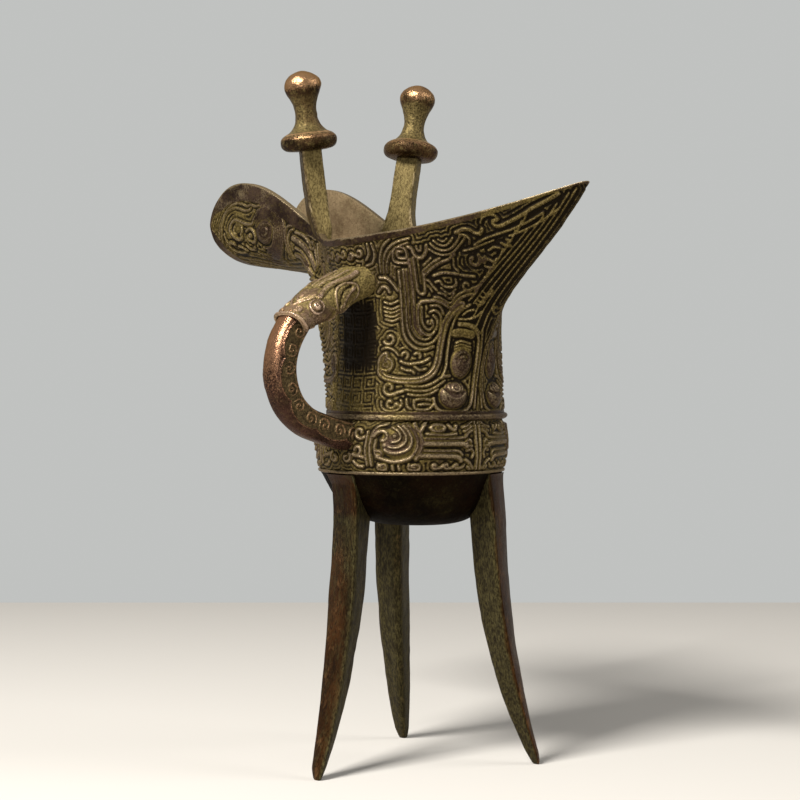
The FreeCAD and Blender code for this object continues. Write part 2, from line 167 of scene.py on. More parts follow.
def roundedOutline(corners, radius, perCorner, perSide):
    # a closed outline with round corners and evenly filled sides; corners anticlockwise
    corners = np.asarray(corners, float)
    n = len(corners)
    radius = np.broadcast_to(radius, n)
    starts, ends = [], []
    for i in range(n):
        before, after = corners[i - 1] - corners[i], corners[(i + 1) % n] - corners[i]
        reach = min(radius[i] / math.tan(0.5 * math.acos(unit(before) @ unit(after))),
                    0.45 * np.linalg.norm(before), 0.45 * np.linalg.norm(after))
        starts.append(corners[i] + unit(before) * reach)
        ends.append(corners[i] + unit(after) * reach)
    t = np.linspace(0, 1, perCorner)[:, None]
    s = np.linspace(0, 1, perSide + 2)[1:-1, None]
    parts = []
    for i in range(n):
        parts.append((1 - t) ** 2 * starts[i] + 2 * t * (1 - t) * corners[i] + t ** 2 * ends[i])
        parts.append(ends[i] * (1 - s) + starts[(i + 1) % n] * s)
    return np.vstack(parts)


def finishPiece(thing, cadNode, sharpAngle):
    thing.data.set_sharp_from_angle(angle=math.radians(sharpAngle))
    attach(thing, "root")
    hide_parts(cadNode)


def makeObject(name, points, faces, materials, cadNode, slotName, sharpAngle, whichMaterial=0, **values):
    # faces are an array of quads and a list of other faces; each further value is kept at the points
    quads, others = faces
    loops = np.concatenate([quads.ravel()] + [np.array(face) for face in others]).astype(np.int32)
    otherStarts = len(quads) * 4 + np.cumsum([0] + [len(face) for face in others])[:-1]
    starts = np.concatenate([np.arange(len(quads)) * 4, otherStarts]).astype(np.int32)
    mesh = bpy.data.meshes.new(name)
    mesh.vertices.add(len(points))
    mesh.vertices.foreach_set("co", inRow(points).astype(np.float32).ravel())
    mesh.loops.add(len(loops))
    mesh.loops.foreach_set("vertex_index", loops)
    mesh.polygons.add(len(starts))
    mesh.polygons.foreach_set("loop_start", starts)
    mesh.update(calc_edges=True)
    mesh.validate()
    mesh.shade_smooth()
    for attributeName, numbers in values.items():
        attribute = mesh.attributes.new(attributeName, "FLOAT", "POINT")
        attribute.data.foreach_set("value", np.asarray(numbers, np.float32).ravel())
    for material in materials:
        mesh.materials.append(material)
    which = np.broadcast_to(whichMaterial, len(starts)).astype(np.int32)
    mesh.polygons.foreach_set("material_index", which)
    thing = bpy.data.objects.new(name, mesh)
    bpy.context.scene.collection.objects.link(thing)
    finishPiece(thing, cadNode, sharpAngle)


class Bench:
    # short ways to add nodes to a tree; a socket given as a value is linked
    def __init__(self, tree, easing="LINEAR"):
        self.nodes, self.links, self.easing = tree.nodes, tree.links, easing

    def put(self, socket, value):
        if isinstance(value, bpy.types.NodeSocket):
            self.links.new(value, socket)
        else:
            socket.default_value = value

    def node(self, kind, **settings):
        made = self.nodes.new(kind)
        for key, value in settings.items():
            if key in made.inputs:
                self.put(made.inputs[key], value)
            else:
                setattr(made, key, value)
        return made

    def maths(self, operation, a, b=0.0, clamp=False):
        made = self.node("ShaderNodeMath", operation=operation, use_clamp=clamp)
        self.put(made.inputs[0], a)
        self.put(made.inputs[1], b)
        return made.outputs[0]

    def plus(self, a, b, clamp=False):
        return self.maths("ADD", a, b, clamp)

    def minus(self, a, b, clamp=False):
        return self.maths("SUBTRACT", a, b, clamp)

    def times(self, a, b, clamp=False):
        return self.maths("MULTIPLY", a, b, clamp)

    def mapped(self, value, low, high, toLow=0.0, toHigh=1.0):
        made = self.node("ShaderNodeMapRange", interpolation_type=self.easing)
        for key, number in (("Value", value), ("From Min", low), ("From Max", high),
                            ("To Min", toLow), ("To Max", toHigh)):
            self.put(made.inputs[key], number)
        return made.outputs["Result"]


# A pair is where a change starts and where it is complete, in relief, wear or noise. Four numbers also say
# from what value to what value. Scales are waves per metre or so, and bumpDepth is in metres.
# deep is the almost black painted shade of the deepest hollows
bronzeLook = dict(
    deep=(0.0045, 0.0028, 0.0014), skinDark=(0.012, 0.006, 0.004), skinWarm=(0.056, 0.034, 0.022),
    dust=(0.112, 0.080, 0.023), dustDark=(0.038, 0.026, 0.007), metal=(0.32, 0.24, 0.135),
    dustAbove=(0.1, 0.36), dustLine=0.54, skinSpan=0.25, rubbedAbove=(0.3, 0.9), rubbing=0.55,
    greenSpread=0.25, greenAbove=(0.5, 0.6), pitting=0.7, pitsBelow=(0.47, 0.38), cloudsAbove=(0.38, 0.66),
    dustGrains=(0.4, 0.6), ragged=(0.35, 0.65), raggedRelief=0.14, raggedRubbing=0.3,
    sheen=0.2, edgeTint=(0.5, 0.38, 0.24), roughRise=(0.0, 0.8), roughGrains=(0.3, 0.7, -0.07, 0.09),
    roughHollow=0.65, roughSkin=0.32, rubbedSmooth=0.12,
    metallicRise=(0.1, 0.8), metallicHollow=0.1, metallicSkin=0.45, rubbedMetallic=0.35,
    patchScale=42.0, patching=0.26, patchesAbove=(0.4, 0.6), streak=1.0,
    cloudScale=110.0, speckleScale=650.0, grainScale=2100.0,
    bump=0.5, bumpDepth=0.0004, bumpGrain=0.6, bumpSpeckle=0.5)


def bronze(name, **changes):
    # painted shade, almost black, in the deepest hollows, yellow-green dust halfway up, brown skin on top,
    # metal where it is rubbed
    look = dict(bronzeLook, **changes)
    material = bpy.data.materials.new(name)
    material.use_nodes = True
    bench = Bench(material.node_tree)
    node, put, plus, minus, times, mapped = (bench.node, bench.put, bench.plus, bench.minus, bench.times,
                                             bench.mapped)

    def noise(scale, detail, roughness=0.6):
        made = node("ShaderNodeTexNoise", Scale=scale, Detail=detail, Roughness=roughness,
                    Vector=drawn.outputs["Vector"])
        return made.outputs["Fac"]

    def mixed(amount, first, second):
        made = node("ShaderNodeMix", data_type="RGBA", Factor=amount)
        for socket, value in ((made.inputs[6], first), (made.inputs[7], second)):
            put(socket, (*value, 1) if isinstance(value, tuple) else value)
        return made.outputs[2]

    place = node("ShaderNodeTexCoord")
    drawn = node("ShaderNodeVectorMath", operation="MULTIPLY")
    put(drawn.inputs[0], place.outputs["Object"])
    put(drawn.inputs[1], (1, 1, look["streak"]))
    relief = node("ShaderNodeAttribute", attribute_name="relief").outputs["Fac"]
    wear = node("ShaderNodeAttribute", attribute_name="wear").outputs["Fac"]
    patches = noise(look["patchScale"], 3)
    clouds = noise(look["cloudScale"], 4)
    speckle = noise(look["speckleScale"], 5, 0.75)
    grain = noise(look["grainScale"], 3, 0.75)

    skin = mixed(mapped(clouds, *look["cloudsAbove"]), look["skinDark"], look["skinWarm"])
    skin = mixed(mapped(speckle, *look["greenAbove"], 0, look["greenSpread"]), skin, look["dust"])
    skin = mixed(mapped(grain, *look["pitsBelow"], 0, look["pitting"]), skin, look["skinDark"])
    dust = mixed(mapped(grain, *look["dustGrains"]), look["dustDark"], look["dust"])
    raised = plus(relief, mapped(speckle, *look["ragged"], -look["raggedRelief"], look["raggedRelief"]))
    # the lowest relief takes the deep colour, painted shade, and dust above it
    ground = mixed(mapped(raised, *look["dustAbove"]), look["deep"], dust)
    shifted = plus(raised, mapped(patches, *look["patchesAbove"], -look["patching"], look["patching"]))
    colour = mixed(mapped(shifted, look["dustLine"], look["dustLine"] + look["skinSpan"]), ground, skin)
    # on the loop's outer face the wear value also carries a painted highlight
    rubbed = plus(wear, mapped(grain, *look["ragged"], -look["raggedRubbing"], look["raggedRubbing"]))
    rubbed = times(mapped(rubbed, *look["rubbedAbove"]), look["rubbing"], True)
    colour = mixed(rubbed, colour, look["metal"])

    rough = mapped(raised, *look["roughRise"], look["roughHollow"], look["roughSkin"])
    rough = plus(rough, mapped(grain, *look["roughGrains"]))
    rough = minus(rough, times(rubbed, look["rubbedSmooth"]), True)
    metallic = plus(mapped(raised, *look["metallicRise"], look["metallicHollow"], look["metallicSkin"]),
                    times(rubbed, look["rubbedMetallic"]), True)
    bump = node("ShaderNodeBump", Strength=look["bump"], Distance=look["bumpDepth"],
                Height=plus(times(grain, look["bumpGrain"]), times(speckle, look["bumpSpeckle"])))
    shader = bench.nodes["Principled BSDF"]
    for key, value in (("Base Color", colour), ("Roughness", rough), ("Metallic", metallic),
                       ("Specular IOR Level", look["sheen"]), ("Specular Tint", (*look["edgeTint"], 1)),
                       ("Normal", bump.outputs["Normal"])):
        put(shader.inputs[key], value)
    return material


bodyBronze = bronze("bodyBronze")
innerBronze = bronze(
    "innerBronze", skinDark=(0.095, 0.060, 0.030), skinWarm=(0.25, 0.175, 0.095), dust=(0.26, 0.20, 0.10),
    dustDark=(0.12, 0.09, 0.045), roughSkin=0.5, metallicSkin=0.4, rubbing=0.3, patching=0.1)
legBronze = bronze(
    "legBronze", deep=(0.006, 0.004, 0.002), skinDark=(0.006, 0.003, 0.001), skinWarm=(0.046, 0.018, 0.005),
    dust=(0.060, 0.049, 0.019), dustDark=(0.012, 0.009, 0.004), metal=(0.24, 0.12, 0.05),
    greenSpread=0.35, streak=0.35, patching=0.12, roughSkin=0.34, sheen=0.15)
postBronze = bronze(
    "postBronze", skinDark=(0.022, 0.014, 0.006), skinWarm=(0.085, 0.055, 0.022), dust=(0.20, 0.150, 0.058),
    dustDark=(0.075, 0.053, 0.019), metal=(0.48, 0.36, 0.20),
    greenSpread=0.5, streak=0.5, patching=0.14, roughSkin=0.4)
capBronze = bronze(
    "capBronze", skinDark=(0.014, 0.008, 0.004), skinWarm=(0.070, 0.036, 0.015), dust=(0.175, 0.128, 0.048),
    dustDark=(0.034, 0.024, 0.009), metal=(0.50, 0.28, 0.14),
    greenSpread=0.5, patching=0.2, rubbing=0.62, roughSkin=0.26, metallicSkin=0.6)
headBronze = bronze(
    "headBronze", deep=(0.010, 0.006, 0.003), skinDark=(0.060, 0.036, 0.020), skinWarm=(0.20, 0.125, 0.072),
    dust=(0.255, 0.19, 0.066), dustDark=(0.058, 0.041, 0.014), metal=(0.60, 0.42, 0.29),
    greenSpread=0.45, patching=0.2, rubbing=0.6, roughSkin=0.3, metallicSkin=0.45)
# the loop's finish: its bright metal is rubbed copper and also a painted highlight on the outer face
wornHighlightBronze = bronze(
    "wornHighlightBronze", deep=(0.005, 0.003, 0.002), skinDark=(0.012, 0.006, 0.004), skinWarm=(0.055, 0.026, 0.018),
    dust=(0.15, 0.105, 0.045), dustDark=(0.048, 0.032, 0.015), metal=(0.40, 0.205, 0.11),
    greenSpread=0.15, patching=0.08, rubbing=0.75, roughSkin=0.26, metallicSkin=0.6)
# the round bottom is almost black: painted shade under the bowl, where it faces the floor
underShadeBronze = bronze(
    "underShadeBronze", deep=(0.001, 0.0006, 0.0004), skinDark=(0.0015, 0.0008, 0.0004),
    skinWarm=(0.006, 0.0025, 0.001), dust=(0.020, 0.016, 0.005), dustDark=(0.006, 0.004, 0.002),
    greenSpread=0.15, patching=0.2, roughSkin=0.7, metallicSkin=0.0, sheen=0.04)
print("bronze finishes made")


# the cup's wall is given by its distance from the axis at any angle and height
cup = dict(
    legHeight=80.0, bellyHeight=14.8, upperWallHeight=48.1, radius=24.2, wall=2.0, narrowing=1.0,
    rimFlare=2.0, flareHeight=23.0,
    tailReach=63.4, tailRise=12.6, keelHeight=41.5, keelBlend=13.0, keelBow=0.034, keelSag=0.03,
    keelSharpness=0.045, rimSweep=1.45,
    spoutReach=72.2, spoutRise=19.0, spoutHalfWidth=16.3, crestInset=14.4, endHalfHeight=12.4, rimDip=7.0,
    channelDepth=12.0, floorDrop=9.2, floorRise=5.2, throatDrop=16.4, throatLength=4.6, cornerBlend=6.0,
    endFullness=0.62, rimPoints=400, endPoints=300, linePoints=140)
waistZ = cup["legHeight"] + cup["bellyHeight"]
rimZ = waistZ + cup["upperWallHeight"]
tailZ = rimZ + cup["tailRise"]
crestZ = rimZ + cup["spoutRise"]
crestX = cup["spoutReach"] - cup["crestInset"]
keelZ = tailZ - cup["keelHeight"]


def softMax(a, b, blend):
    near = np.clip(blend - np.abs(a - b), 0, None) / blend
    return np.maximum(a, b) + near * near * blend / 4


def cupReach(z, inset):
    opening = np.clip(z - (rimZ - cup["flareHeight"]), 0, None) / cup["flareHeight"]
    narrowing = cup["narrowing"] * np.sin(np.pi * np.clip((z - waistZ) / (rimZ - waistZ), 0, 1)) ** 1.3
    return cup["radius"] + cup["rimFlare"] * opening ** 2 - narrowing - inset


def keelReach(z, inset):
    run = softMax(z - keelZ, 0.0, cup["keelBlend"]) / cup["keelHeight"]
    share = np.minimum(run, 1)
    run = run - cup["keelBow"] * np.sin(2 * np.pi * share) - cup["keelSag"] * np.sin(np.pi * share)
    reach = cup["radius"] + (cup["tailReach"] - cup["radius"]) * run
    return reach * cupReach(z, inset) / cupReach(z, 0.0)


def tailSlice(angle, z, inset):
    # flat cheeks that run from the keel to touch the round cup
    radius = cupReach(z, inset)
    tip = np.maximum(keelReach(z, inset), radius * 1.0001)
    offKeel = np.sqrt(angle ** 2 + cup["keelSharpness"] ** 2) - cup["keelSharpness"]
    return radius / np.cos(np.clip(np.arccos(radius / tip) - offKeel, 0, None))


def spoutFloor(x):
    # height of the lowest line under the spout, x measured towards its end
    past = x - cup["radius"]
    slope = cup["floorRise"] / (cup["spoutReach"] - cup["radius"])
    throat = np.exp(-np.clip(past, 0, None) / cup["throatLength"]) - np.minimum(past, 0) / cup["throatLength"]
    return rimZ - cup["floorDrop"] + slope * past - cup["throatDrop"] * throat


def spoutSlice(angle, z, inset):
    # distance at which a ray leaves the round-bottomed channel, found by halving
    along = np.maximum(-np.cos(angle), 1e-6)
    across = np.maximum(np.abs(np.sin(angle)), 1e-6)
    half = cup["spoutHalfWidth"] - inset
    depth = cup["channelDepth"] * half / cup["spoutHalfWidth"]
    low = np.zeros(np.broadcast(angle, z).shape)
    high = low + 2 * cup["spoutReach"]
    for _ in range(30):
        middle = 0.5 * (low + high)
        side = np.minimum(middle * across / half, 1)
        inside = spoutFloor(middle * along) + inset + depth * (1 - np.sqrt(1 - side * side)) < z
        low = np.where(inside, middle, low)
        high = np.where(inside, high, middle)
    return np.minimum(0.5 * (low + high), half / across)


def wallReach(angle, z, inset):
    angle, z = np.broadcast_arrays(np.asarray(angle, float), np.asarray(z, float))
    reach = tailSlice(angle, z, inset)
    return np.where(np.cos(angle) < -0.05,
                    softMax(reach, spoutSlice(angle, z, inset), cup["cornerBlend"]), reach)


def onWall(angle, z, inset):
    angle, z = np.broadcast_arrays(angle, z)
    reach = wallReach(angle, z, inset)
    return np.stack([reach * np.cos(angle), reach * np.sin(angle), z], -1)


def rimHeight(x):
    x = np.asarray(x, float)
    tail = rimZ + cup["tailRise"] * (np.clip(x, 0, None) / cup["tailReach"]) ** cup["rimSweep"]
    run = np.clip((-x - cup["rimDip"]) / (crestX - cup["rimDip"]), 0, 1)
    return np.where(x >= 0, tail, rimZ + cup["spoutRise"] * (1 - np.cos(np.pi * run)) / 2)


def halfWidth(x, z, inset):
    low = np.zeros_like(x)
    high = low + cup["spoutHalfWidth"] + cup["radius"]
    for _ in range(34):
        middle = 0.5 * (low + high)
        outside = np.hypot(x, middle) > wallReach(np.arctan2(-middle, x), z, inset)
        high = np.where(outside, middle, high)
        low = np.where(outside, low, middle)
    return 0.5 * (low + high)


def rootBetween(function, low, high):
    for _ in range(60):
        middle = 0.5 * (low + high)
        if function(middle) < 0:
            low = middle
        else:
            high = middle
    return 0.5 * (low + high)


def spoutEnd(turn):
    # round end of the rim seen from the side: a quarter turn is its crest, half a turn its tip
    power = np.where(turn > math.pi, cup["endFullness"], 1.0)
    across = np.sign(np.cos(turn)) * np.abs(np.cos(turn)) ** power
    up = np.sign(np.sin(turn)) * np.abs(np.sin(turn)) ** power
    return -crestX + cup["crestInset"] * across, crestZ - cup["endHalfHeight"] + cup["endHalfHeight"] * up


def rimRun(part, inset, count):
    # evenly spaced rim points of the near half: "tail" from its tip to x = 0, "spout" from there to the end
    if part == "tail":
        tip = rootBetween(lambda x: x - keelReach(rimHeight(x), inset), 0.0, 2 * cup["tailReach"])
        x = np.linspace(tip, 0, cup["rimPoints"])
        z = rimHeight(x)
    else:
        x = np.linspace(0, -crestX, cup["rimPoints"])
        z = rimHeight(x)
        bottom = rootBetween(lambda turn: spoutFloor(-spoutEnd(turn)[0]) + inset - spoutEnd(turn)[1],
                             math.pi, 1.5 * math.pi)
        endX, endZ = spoutEnd(np.linspace(math.pi / 2, bottom, cup["endPoints"])[1:])
        x, z = np.append(x, endX), np.append(z, endZ)
    y = -halfWidth(x, z, inset)
    y[0 if part == "tail" else -1] = 0.0
    run = np.append(0, np.cumsum(np.sqrt(np.diff(x) ** 2 + np.diff(y) ** 2 + np.diff(z) ** 2)))
    even = np.linspace(0, run[-1], count)
    return np.stack([np.interp(even, run, x), np.interp(even, run, y), np.interp(even, run, z)], 1)


def wallSheet(rim, inset, rows):
    # angle and height of evenly spaced points down each line, waist first; shape (columns, rows)
    angle = np.arctan2(rim[:, 1], rim[:, 0])
    angle = np.where(np.abs(rim[:, 1]) < 1e-9, np.where(rim[:, 0] > 0, 0.0, -np.pi), angle)[:, None]
    z = waistZ + (rim[:, 2:3] - waistZ) * np.linspace(0, 1, cup["linePoints"])
    reach = wallReach(angle, z, inset)
    run = np.cumsum(np.hypot(np.diff(reach, axis=1), np.diff(z, axis=1)), axis=1)
    run = np.hstack([np.zeros((len(rim), 1)), run])
    even = np.linspace(0, 1, rows)
    z = np.array([np.interp(even * length[-1], length, heights) for length, heights in zip(run, z)])
    return np.broadcast_to(angle, z.shape), z


# The relief is drawn on the unrolled wall. Lengths run round the wall at one height, in mm from the plane
# of the handle: towards the tail they are positive, towards the spout negative. The square spirals, leiwen,
# waver a little: leiwenSway and leiwenSwell are how far, in mm, and how fast, in radians per mm.
carving = dict(
    step=0.1, low=93.0, high=164.0, left=-78.0, right=78.0,
    thread=0.37, threadRise=0.68, ribbonRise=0.62, ribbonEdge=(0.12, -0.2), grooveDepth=0.3,
    bossPower=2.4, bossFullness=0.7, farOff=9.0, moat=0.36, moatEdge=0.12,
    leiwenCell=4.1, leiwenLine=1.0, leiwenRise=0.36, leiwenEdge=(-0.25, 0.45), leiwenMoatEdge=0.15,
    leiwenSway=(0.35, 0.21), leiwenSwell=(0.25, 0.33),
    echoPitch=0.98, echoRise=0.46, echoEdge=(-0.55, 0.35), echoReach=5.0,
    crestReach=7, crestGain=3.2, tableStep=0.75, tableAngles=1600, sink=0.4)


class Panel:
    # heights over a rectangle of the unrolled wall, and how far each spot is from the nearest stroke
    def __init__(self, left, right, low, high, step):
        self.left, self.low, self.step = left, low, step
        self.columns = int(round((right - left) / step)) + 1
        self.rows = int(round((high - low) / step)) + 1
        self.length = left + step * np.arange(self.columns)[None, :]
        self.height = low + step * np.arange(self.rows)[:, None]
        self.rise = np.zeros((self.rows, self.columns))
        self.clear = np.full((self.rows, self.columns), carving["farOff"])

    def window(self, points, pad):
        # first and last column and row that lie within pad of the points
        low, high = points.min(axis=0) - pad, points.max(axis=0) + pad
        return (max(int((low[0] - self.left) / self.step), 0),
                min(int((high[0] - self.left) / self.step) + 2, self.columns),
                max(int((low[1] - self.low) / self.step), 0),
                min(int((high[1] - self.low) / self.step) + 2, self.rows))

    def distance(self, points, reach):
        line = flowing(points)
        left, right, bottom, top = self.window(line, reach + 0.5)
        near = np.full((max(top - bottom, 0), max(right - left, 0)), carving["farOff"])
        for a, b in zip(line, line[1:]):
            i0, i1, j0, j1 = self.window(np.stack([a, b]), reach + 0.5)
            i0, i1, j0, j1 = max(i0, left), min(i1, right), max(j0, bottom), min(j1, top)
            if i1 <= i0 or j1 <= j0:
                continue
            x = self.length[:, i0:i1] - a[0]
            y = self.height[j0:j1] - a[1]
            d = b - a
            t = np.clip((x * d[0] + y * d[1]) / max(d @ d, 1e-9), 0, 1)
            gap = np.hypot(x - t * d[0], y - t * d[1])
            patch = near[j0 - bottom:j1 - bottom, i0 - left:i1 - left]
            np.minimum(patch, gap, out=patch)
        return (slice(bottom, top), slice(left, right)), near

    def lay(self, where, rise, gap):
        self.rise[where] = np.maximum(self.rise[where], rise)
        self.clear[where] = np.minimum(self.clear[where], gap)

    def thread(self, points, width=1.0, rise=1.0):
        half = carving["thread"] * width
        where, near = self.distance(points, half + 1)
        top = np.sqrt(np.clip(1 - (near / half) ** 2, 0, 1))
        self.lay(where, carving["threadRise"] * rise * top, near - half)

    def ribbon(self, points, half, lines=0, rise=1.0):
        # a flat raised band with incised lines along it
        where, near = self.distance(points, half + 1)
        body = carving["ribbonRise"] * rise * smoothStep(*carving["ribbonEdge"], near - half)
        if lines:
            pitch = 2 * half / (lines + 1)
            groove = (0.5 + 0.5 * np.cos(2 * np.pi * (half - near) / pitch)) ** 2
            body -= carving["grooveDepth"] * groove * (half - near > pitch / 2)
        self.lay(where, np.clip(body, 0, None), near - half)

    def boss(self, centre, wide, tall, rise, turn=0.0):
        a = math.radians(turn)
        x, y = self.length - centre[0], self.height - centre[1]
        u, v = (x * math.cos(a) + y * math.sin(a)) / wide, (y * math.cos(a) - x * math.sin(a)) / tall
        t = np.hypot(u, v)
        dome = rise * np.clip(1 - t ** carving["bossPower"], 0, None) ** carving["bossFullness"]
        self.lay((slice(None), slice(None)), dome, (t - 1) * min(wide, tall))

    def carveLine(self, points, width=0.8, depth=0.3):
        where, near = self.distance(points, 1.0)
        half = carving["thread"] * width
        self.rise[where] -= depth * np.clip(1 - (near / half) ** 2, 0, 1)

    def leiwen(self, area, cell, line, rise):
        # square spirals that fill the ground between the strokes
        (sway, swayRate), (swell, swellRate) = carving["leiwenSway"], carving["leiwenSwell"]
        length = self.length + sway * np.sin(swayRate * self.height)
        height = self.height + swell * np.sin(swellRate * self.length + 1)
        x = (length / cell) % 1 - 0.5
        y = (height / cell) % 1 - 0.5
        odd = (np.floor(length / cell) + np.floor(height / cell)) % 2
        x = np.where(odd > 0, -x, x) + 0 * y
        y = y + 0 * x
        ring = np.maximum(np.abs(x), np.abs(y)) * cell
        side = np.where(np.abs(x) > np.abs(y), np.where(x > 0, 0, 2), np.where(y > 0, 1, 3))
        wave = np.cos(2 * np.pi * (ring / line - side / 4.0))
        lines = smoothStep(*carving["leiwenEdge"], wave) * rise
        room = smoothStep(carving["moat"], carving["moat"] + carving["leiwenMoatEdge"], self.clear)
        self.rise = np.maximum(self.rise, lines * room * area)

    def measure(self, reach):
        # exact distance of every spot from the nearest stroke, up to the reach
        drawn = self.clear <= 0
        columns = np.arange(self.columns)[None, :]
        before = np.maximum.accumulate(np.where(drawn, columns, -9999), axis=1)
        after = np.minimum.accumulate(np.where(drawn, columns, 99999)[:, ::-1], axis=1)[:, ::-1]
        across = np.minimum(np.minimum(columns - before, after - columns), 999.0) ** 2
        best = across.copy()
        for rows in range(1, int(reach / self.step) + 1):
            best[rows:] = np.minimum(best[rows:], across[:-rows] + rows * rows)
            best[:-rows] = np.minimum(best[:-rows], across[rows:] + rows * rows)
        self.clear = np.where(drawn, self.clear, np.sqrt(best) * self.step)

    def echo(self, area, pitch, rise):
        # lines that follow the strokes at even distances
        self.measure(carving["echoReach"])
        wave = np.cos(2 * np.pi * (self.clear - carving["moat"] - 0.5 * pitch) / pitch)
        lines = smoothStep(*carving["echoEdge"], wave) * rise
        room = smoothStep(-carving["moatEdge"], carving["moatEdge"], self.clear - carving["moat"])
        self.rise = np.maximum(self.rise, lines * room * area)

    def sample(self, image, length, height):
        return between(image, (length - self.left) / self.step, (height - self.low) / self.step)


def drawDragon(panel, flip):
    # half of the mask that fills the cup wall between the handle and the keel
    def at(points):
        return [(flip * x, z) for x, z in points]

    def thread(points, width=1.0, rise=1.0):
        panel.thread(at(points), width, rise)

    def ribbon(points, half, lines=0, rise=1.0):
        panel.ribbon(at(points), half, lines, rise)

    # trunk: nested hooks that drop from the rim and roll up beside the cheek
    thread([(15.3, 133.6), (15.2, 126), (15.3, 119.5), (16.2, 116), (18.4, 113.7), (21, 113.1),
            (23.6, 113.9)], 1.25)
    thread([(16.5, 134), (16.4, 127), (16.5, 120), (17.3, 117), (19, 115), (21.2, 114.4), (23.4, 115.1),
            (25, 117.2), (25.6, 120.2), (25.2, 122.4), (23.8, 123.4), (22.6, 122.9)], 1.1)
    thread([(17.4, 134), (17.3, 127), (17.4, 120.5), (18.3, 117.8), (19.6, 116.3), (21.3, 115.7),
            (22.9, 116.3)], 0.9)
    thread([(19.6, 124.6), (19.5, 120.5), (20.2, 118.2), (21.6, 117), (23.2, 117.2), (24.4, 118.9),
            (24.5, 120.9), (23.5, 122.1)], 1.2)
    thread([(20.5, 124.3), (20.5, 120.7), (21.2, 119.1), (22.3, 118.3), (23.4, 119.2), (23.4, 120.4)], 1.0)
    thread(curl((22.3, 120.4), 0.2, 0.9, 90, 300), 0.9)
    ribbon([(18.5, 136.5), (18.5, 128), (18.5, 121), (19, 118.6), (20.4, 117)], 0.55, 0, 0.9)
    thread([(19.7, 137), (19.7, 130), (20, 128.2), (20.9, 127.6), (21.7, 128.3), (21.8, 130),
            (21.8, 133.4)], 1.2)
    thread([(20.8, 137), (20.8, 130.4)], 0.8, 0.8)
    # flame over the cheek
    thread([(19.6, 124.6), (20.5, 125.6), (22.4, 125.9), (24.3, 125.9), (26.2, 125.2), (28, 124), (29, 124.7),
            (30.4, 126.2), (32.2, 127.2), (34.2, 127.6)], 1.35)
    thread([(23.9, 126.9), (25.6, 126.6), (28, 125.2), (29.5, 126.7), (31.2, 127.9), (33.3, 128.6)], 0.95)
    thread([(25.1, 128), (26.6, 127.5), (28, 126.4), (29.4, 127.8)], 0.9)
    thread([(26, 129.2), (28, 127.6), (29.9, 128.9)], 0.85)
    thread([(22, 131.5), (23.1, 131), (24, 129.6), (24.9, 128.6)], 0.95)
    thread([(21.9, 130), (22.9, 129.5), (23.6, 128.3)], 0.8)
    thread([(24.7, 130.7), (25.9, 131), (26.5, 130), (27.7, 129.4), (29.3, 129.5), (30.3, 130.4),
            (30.2, 131.4)], 1.0)
    thread([(24.4, 132.4), (27, 133.1), (30, 132.9), (33, 132.3), (35.4, 132.1)], 1.15)
    # neck: long lines that fan from the jaw up to the tail
    thread([(26.2, 122.4), (25.6, 124), (24.4, 124.7), (22.9, 124.6)], 1.05)
    thread([(26.2, 105.6), (27.2, 108.6), (27.5, 113), (28.1, 117.6), (29.2, 121.1), (30.8, 123.3),
            (33.4, 124.9)], 1.1)
    thread([(31.2, 122.1), (32.6, 123.2), (34.2, 123.5)], 1.0)
    # cheek boss and eye boss
    panel.boss((flip * 31.4, 109.6), 3.1, 4.3, 1.35)
    ribbon([(29.4, 117.4), (31.6, 117.5), (33.6, 117.0)], 1.15, 0, 0.95)
    for height, spread in ((111.6, 1.2), (110.9, 2.0)):
        panel.carveLine(at(curl((31.9, height - 0.6), spread * 0.5, spread, -20, 220)), 0.8, 0.3)
    panel.carveLine(at(curl((31.9, 110.4), 0.3, 1.1, 0, 420)), 0.7, 0.3)
    for height, spread in ((115.3, 2.0), (114.4, 2.1), (113.6, 2.2)):
        thread([(31.6 - spread, height - 0.5), (31.2, height), (31.6 + spread, height - 0.7)], 0.85)
    panel.boss((flip * 29.7, 101.0), 4.3, 3.7, 1.75)
    panel.carveLine(at([(26.6, 104), (27.2, 102.6), (29, 101.5), (31.4, 101.5), (33, 102.5),
                        (33.2, 104)]), 1.3, 0.5)
    for spread in (2.5, 1.6, 0.7):
        panel.carveLine(at(curl((30.1, 103.1), spread, spread, 0, 360)), 0.8, 0.36)
    # frame of the cheek
    thread([(24.2, 100.2), (24.8, 98.2), (26.4, 96.9), (29.6, 96.6), (32.8, 96.8), (34.9, 98.2), (35.6, 101),
            (35.7, 106), (35.8, 112), (35.6, 116.4), (34.3, 118.6), (32, 119.4), (30.2, 119.5)], 1.2)
    thread([(30.1, 120.1), (32.6, 119.9), (34.6, 119.1), (35.9, 117.4)], 0.95)
    thread([(30.2, 121.1), (32.6, 121.1), (34.8, 121.8), (36.2, 123)], 0.95)
    thread([(36.5, 97.5), (36.6, 104), (36.7, 112), (36.6, 118)], 0.9)
    # jaw with its curled corner
    ribbon(curl((11.1, 109.4), 0.9, 2.3, 60, -360)[:-1] + [(9.2, 107.6), (10.6, 105.9), (13.2, 105.2),
           (16.4, 104.9), (19.6, 105), (22.2, 105.9), (24, 107.7), (25, 110.6), (25.5, 114.4), (26.2, 118),
           (27.2, 121), (28.8, 123.2), (31.2, 125)], 0.92, 1, 1.2)
    thread([(15.2, 111.5), (15.6, 112.3), (16.6, 112.2), (16.9, 111.4), (16.4, 110.7)], 1.1)
    thread([(18.6, 111.9), (19.4, 112.2), (20.2, 111.6), (20, 110.9)], 1.1)
    thread([(14.9, 110), (16.8, 109.3), (19, 109.5), (21, 109.9), (22.6, 110.8)], 1.1)
    thread([(15.2, 108.2), (16.6, 107.6), (18, 107.5), (18.7, 106.9)], 1.0)
    thread([(18.7, 108.6), (20.2, 107.7), (21.8, 108)], 1.0)
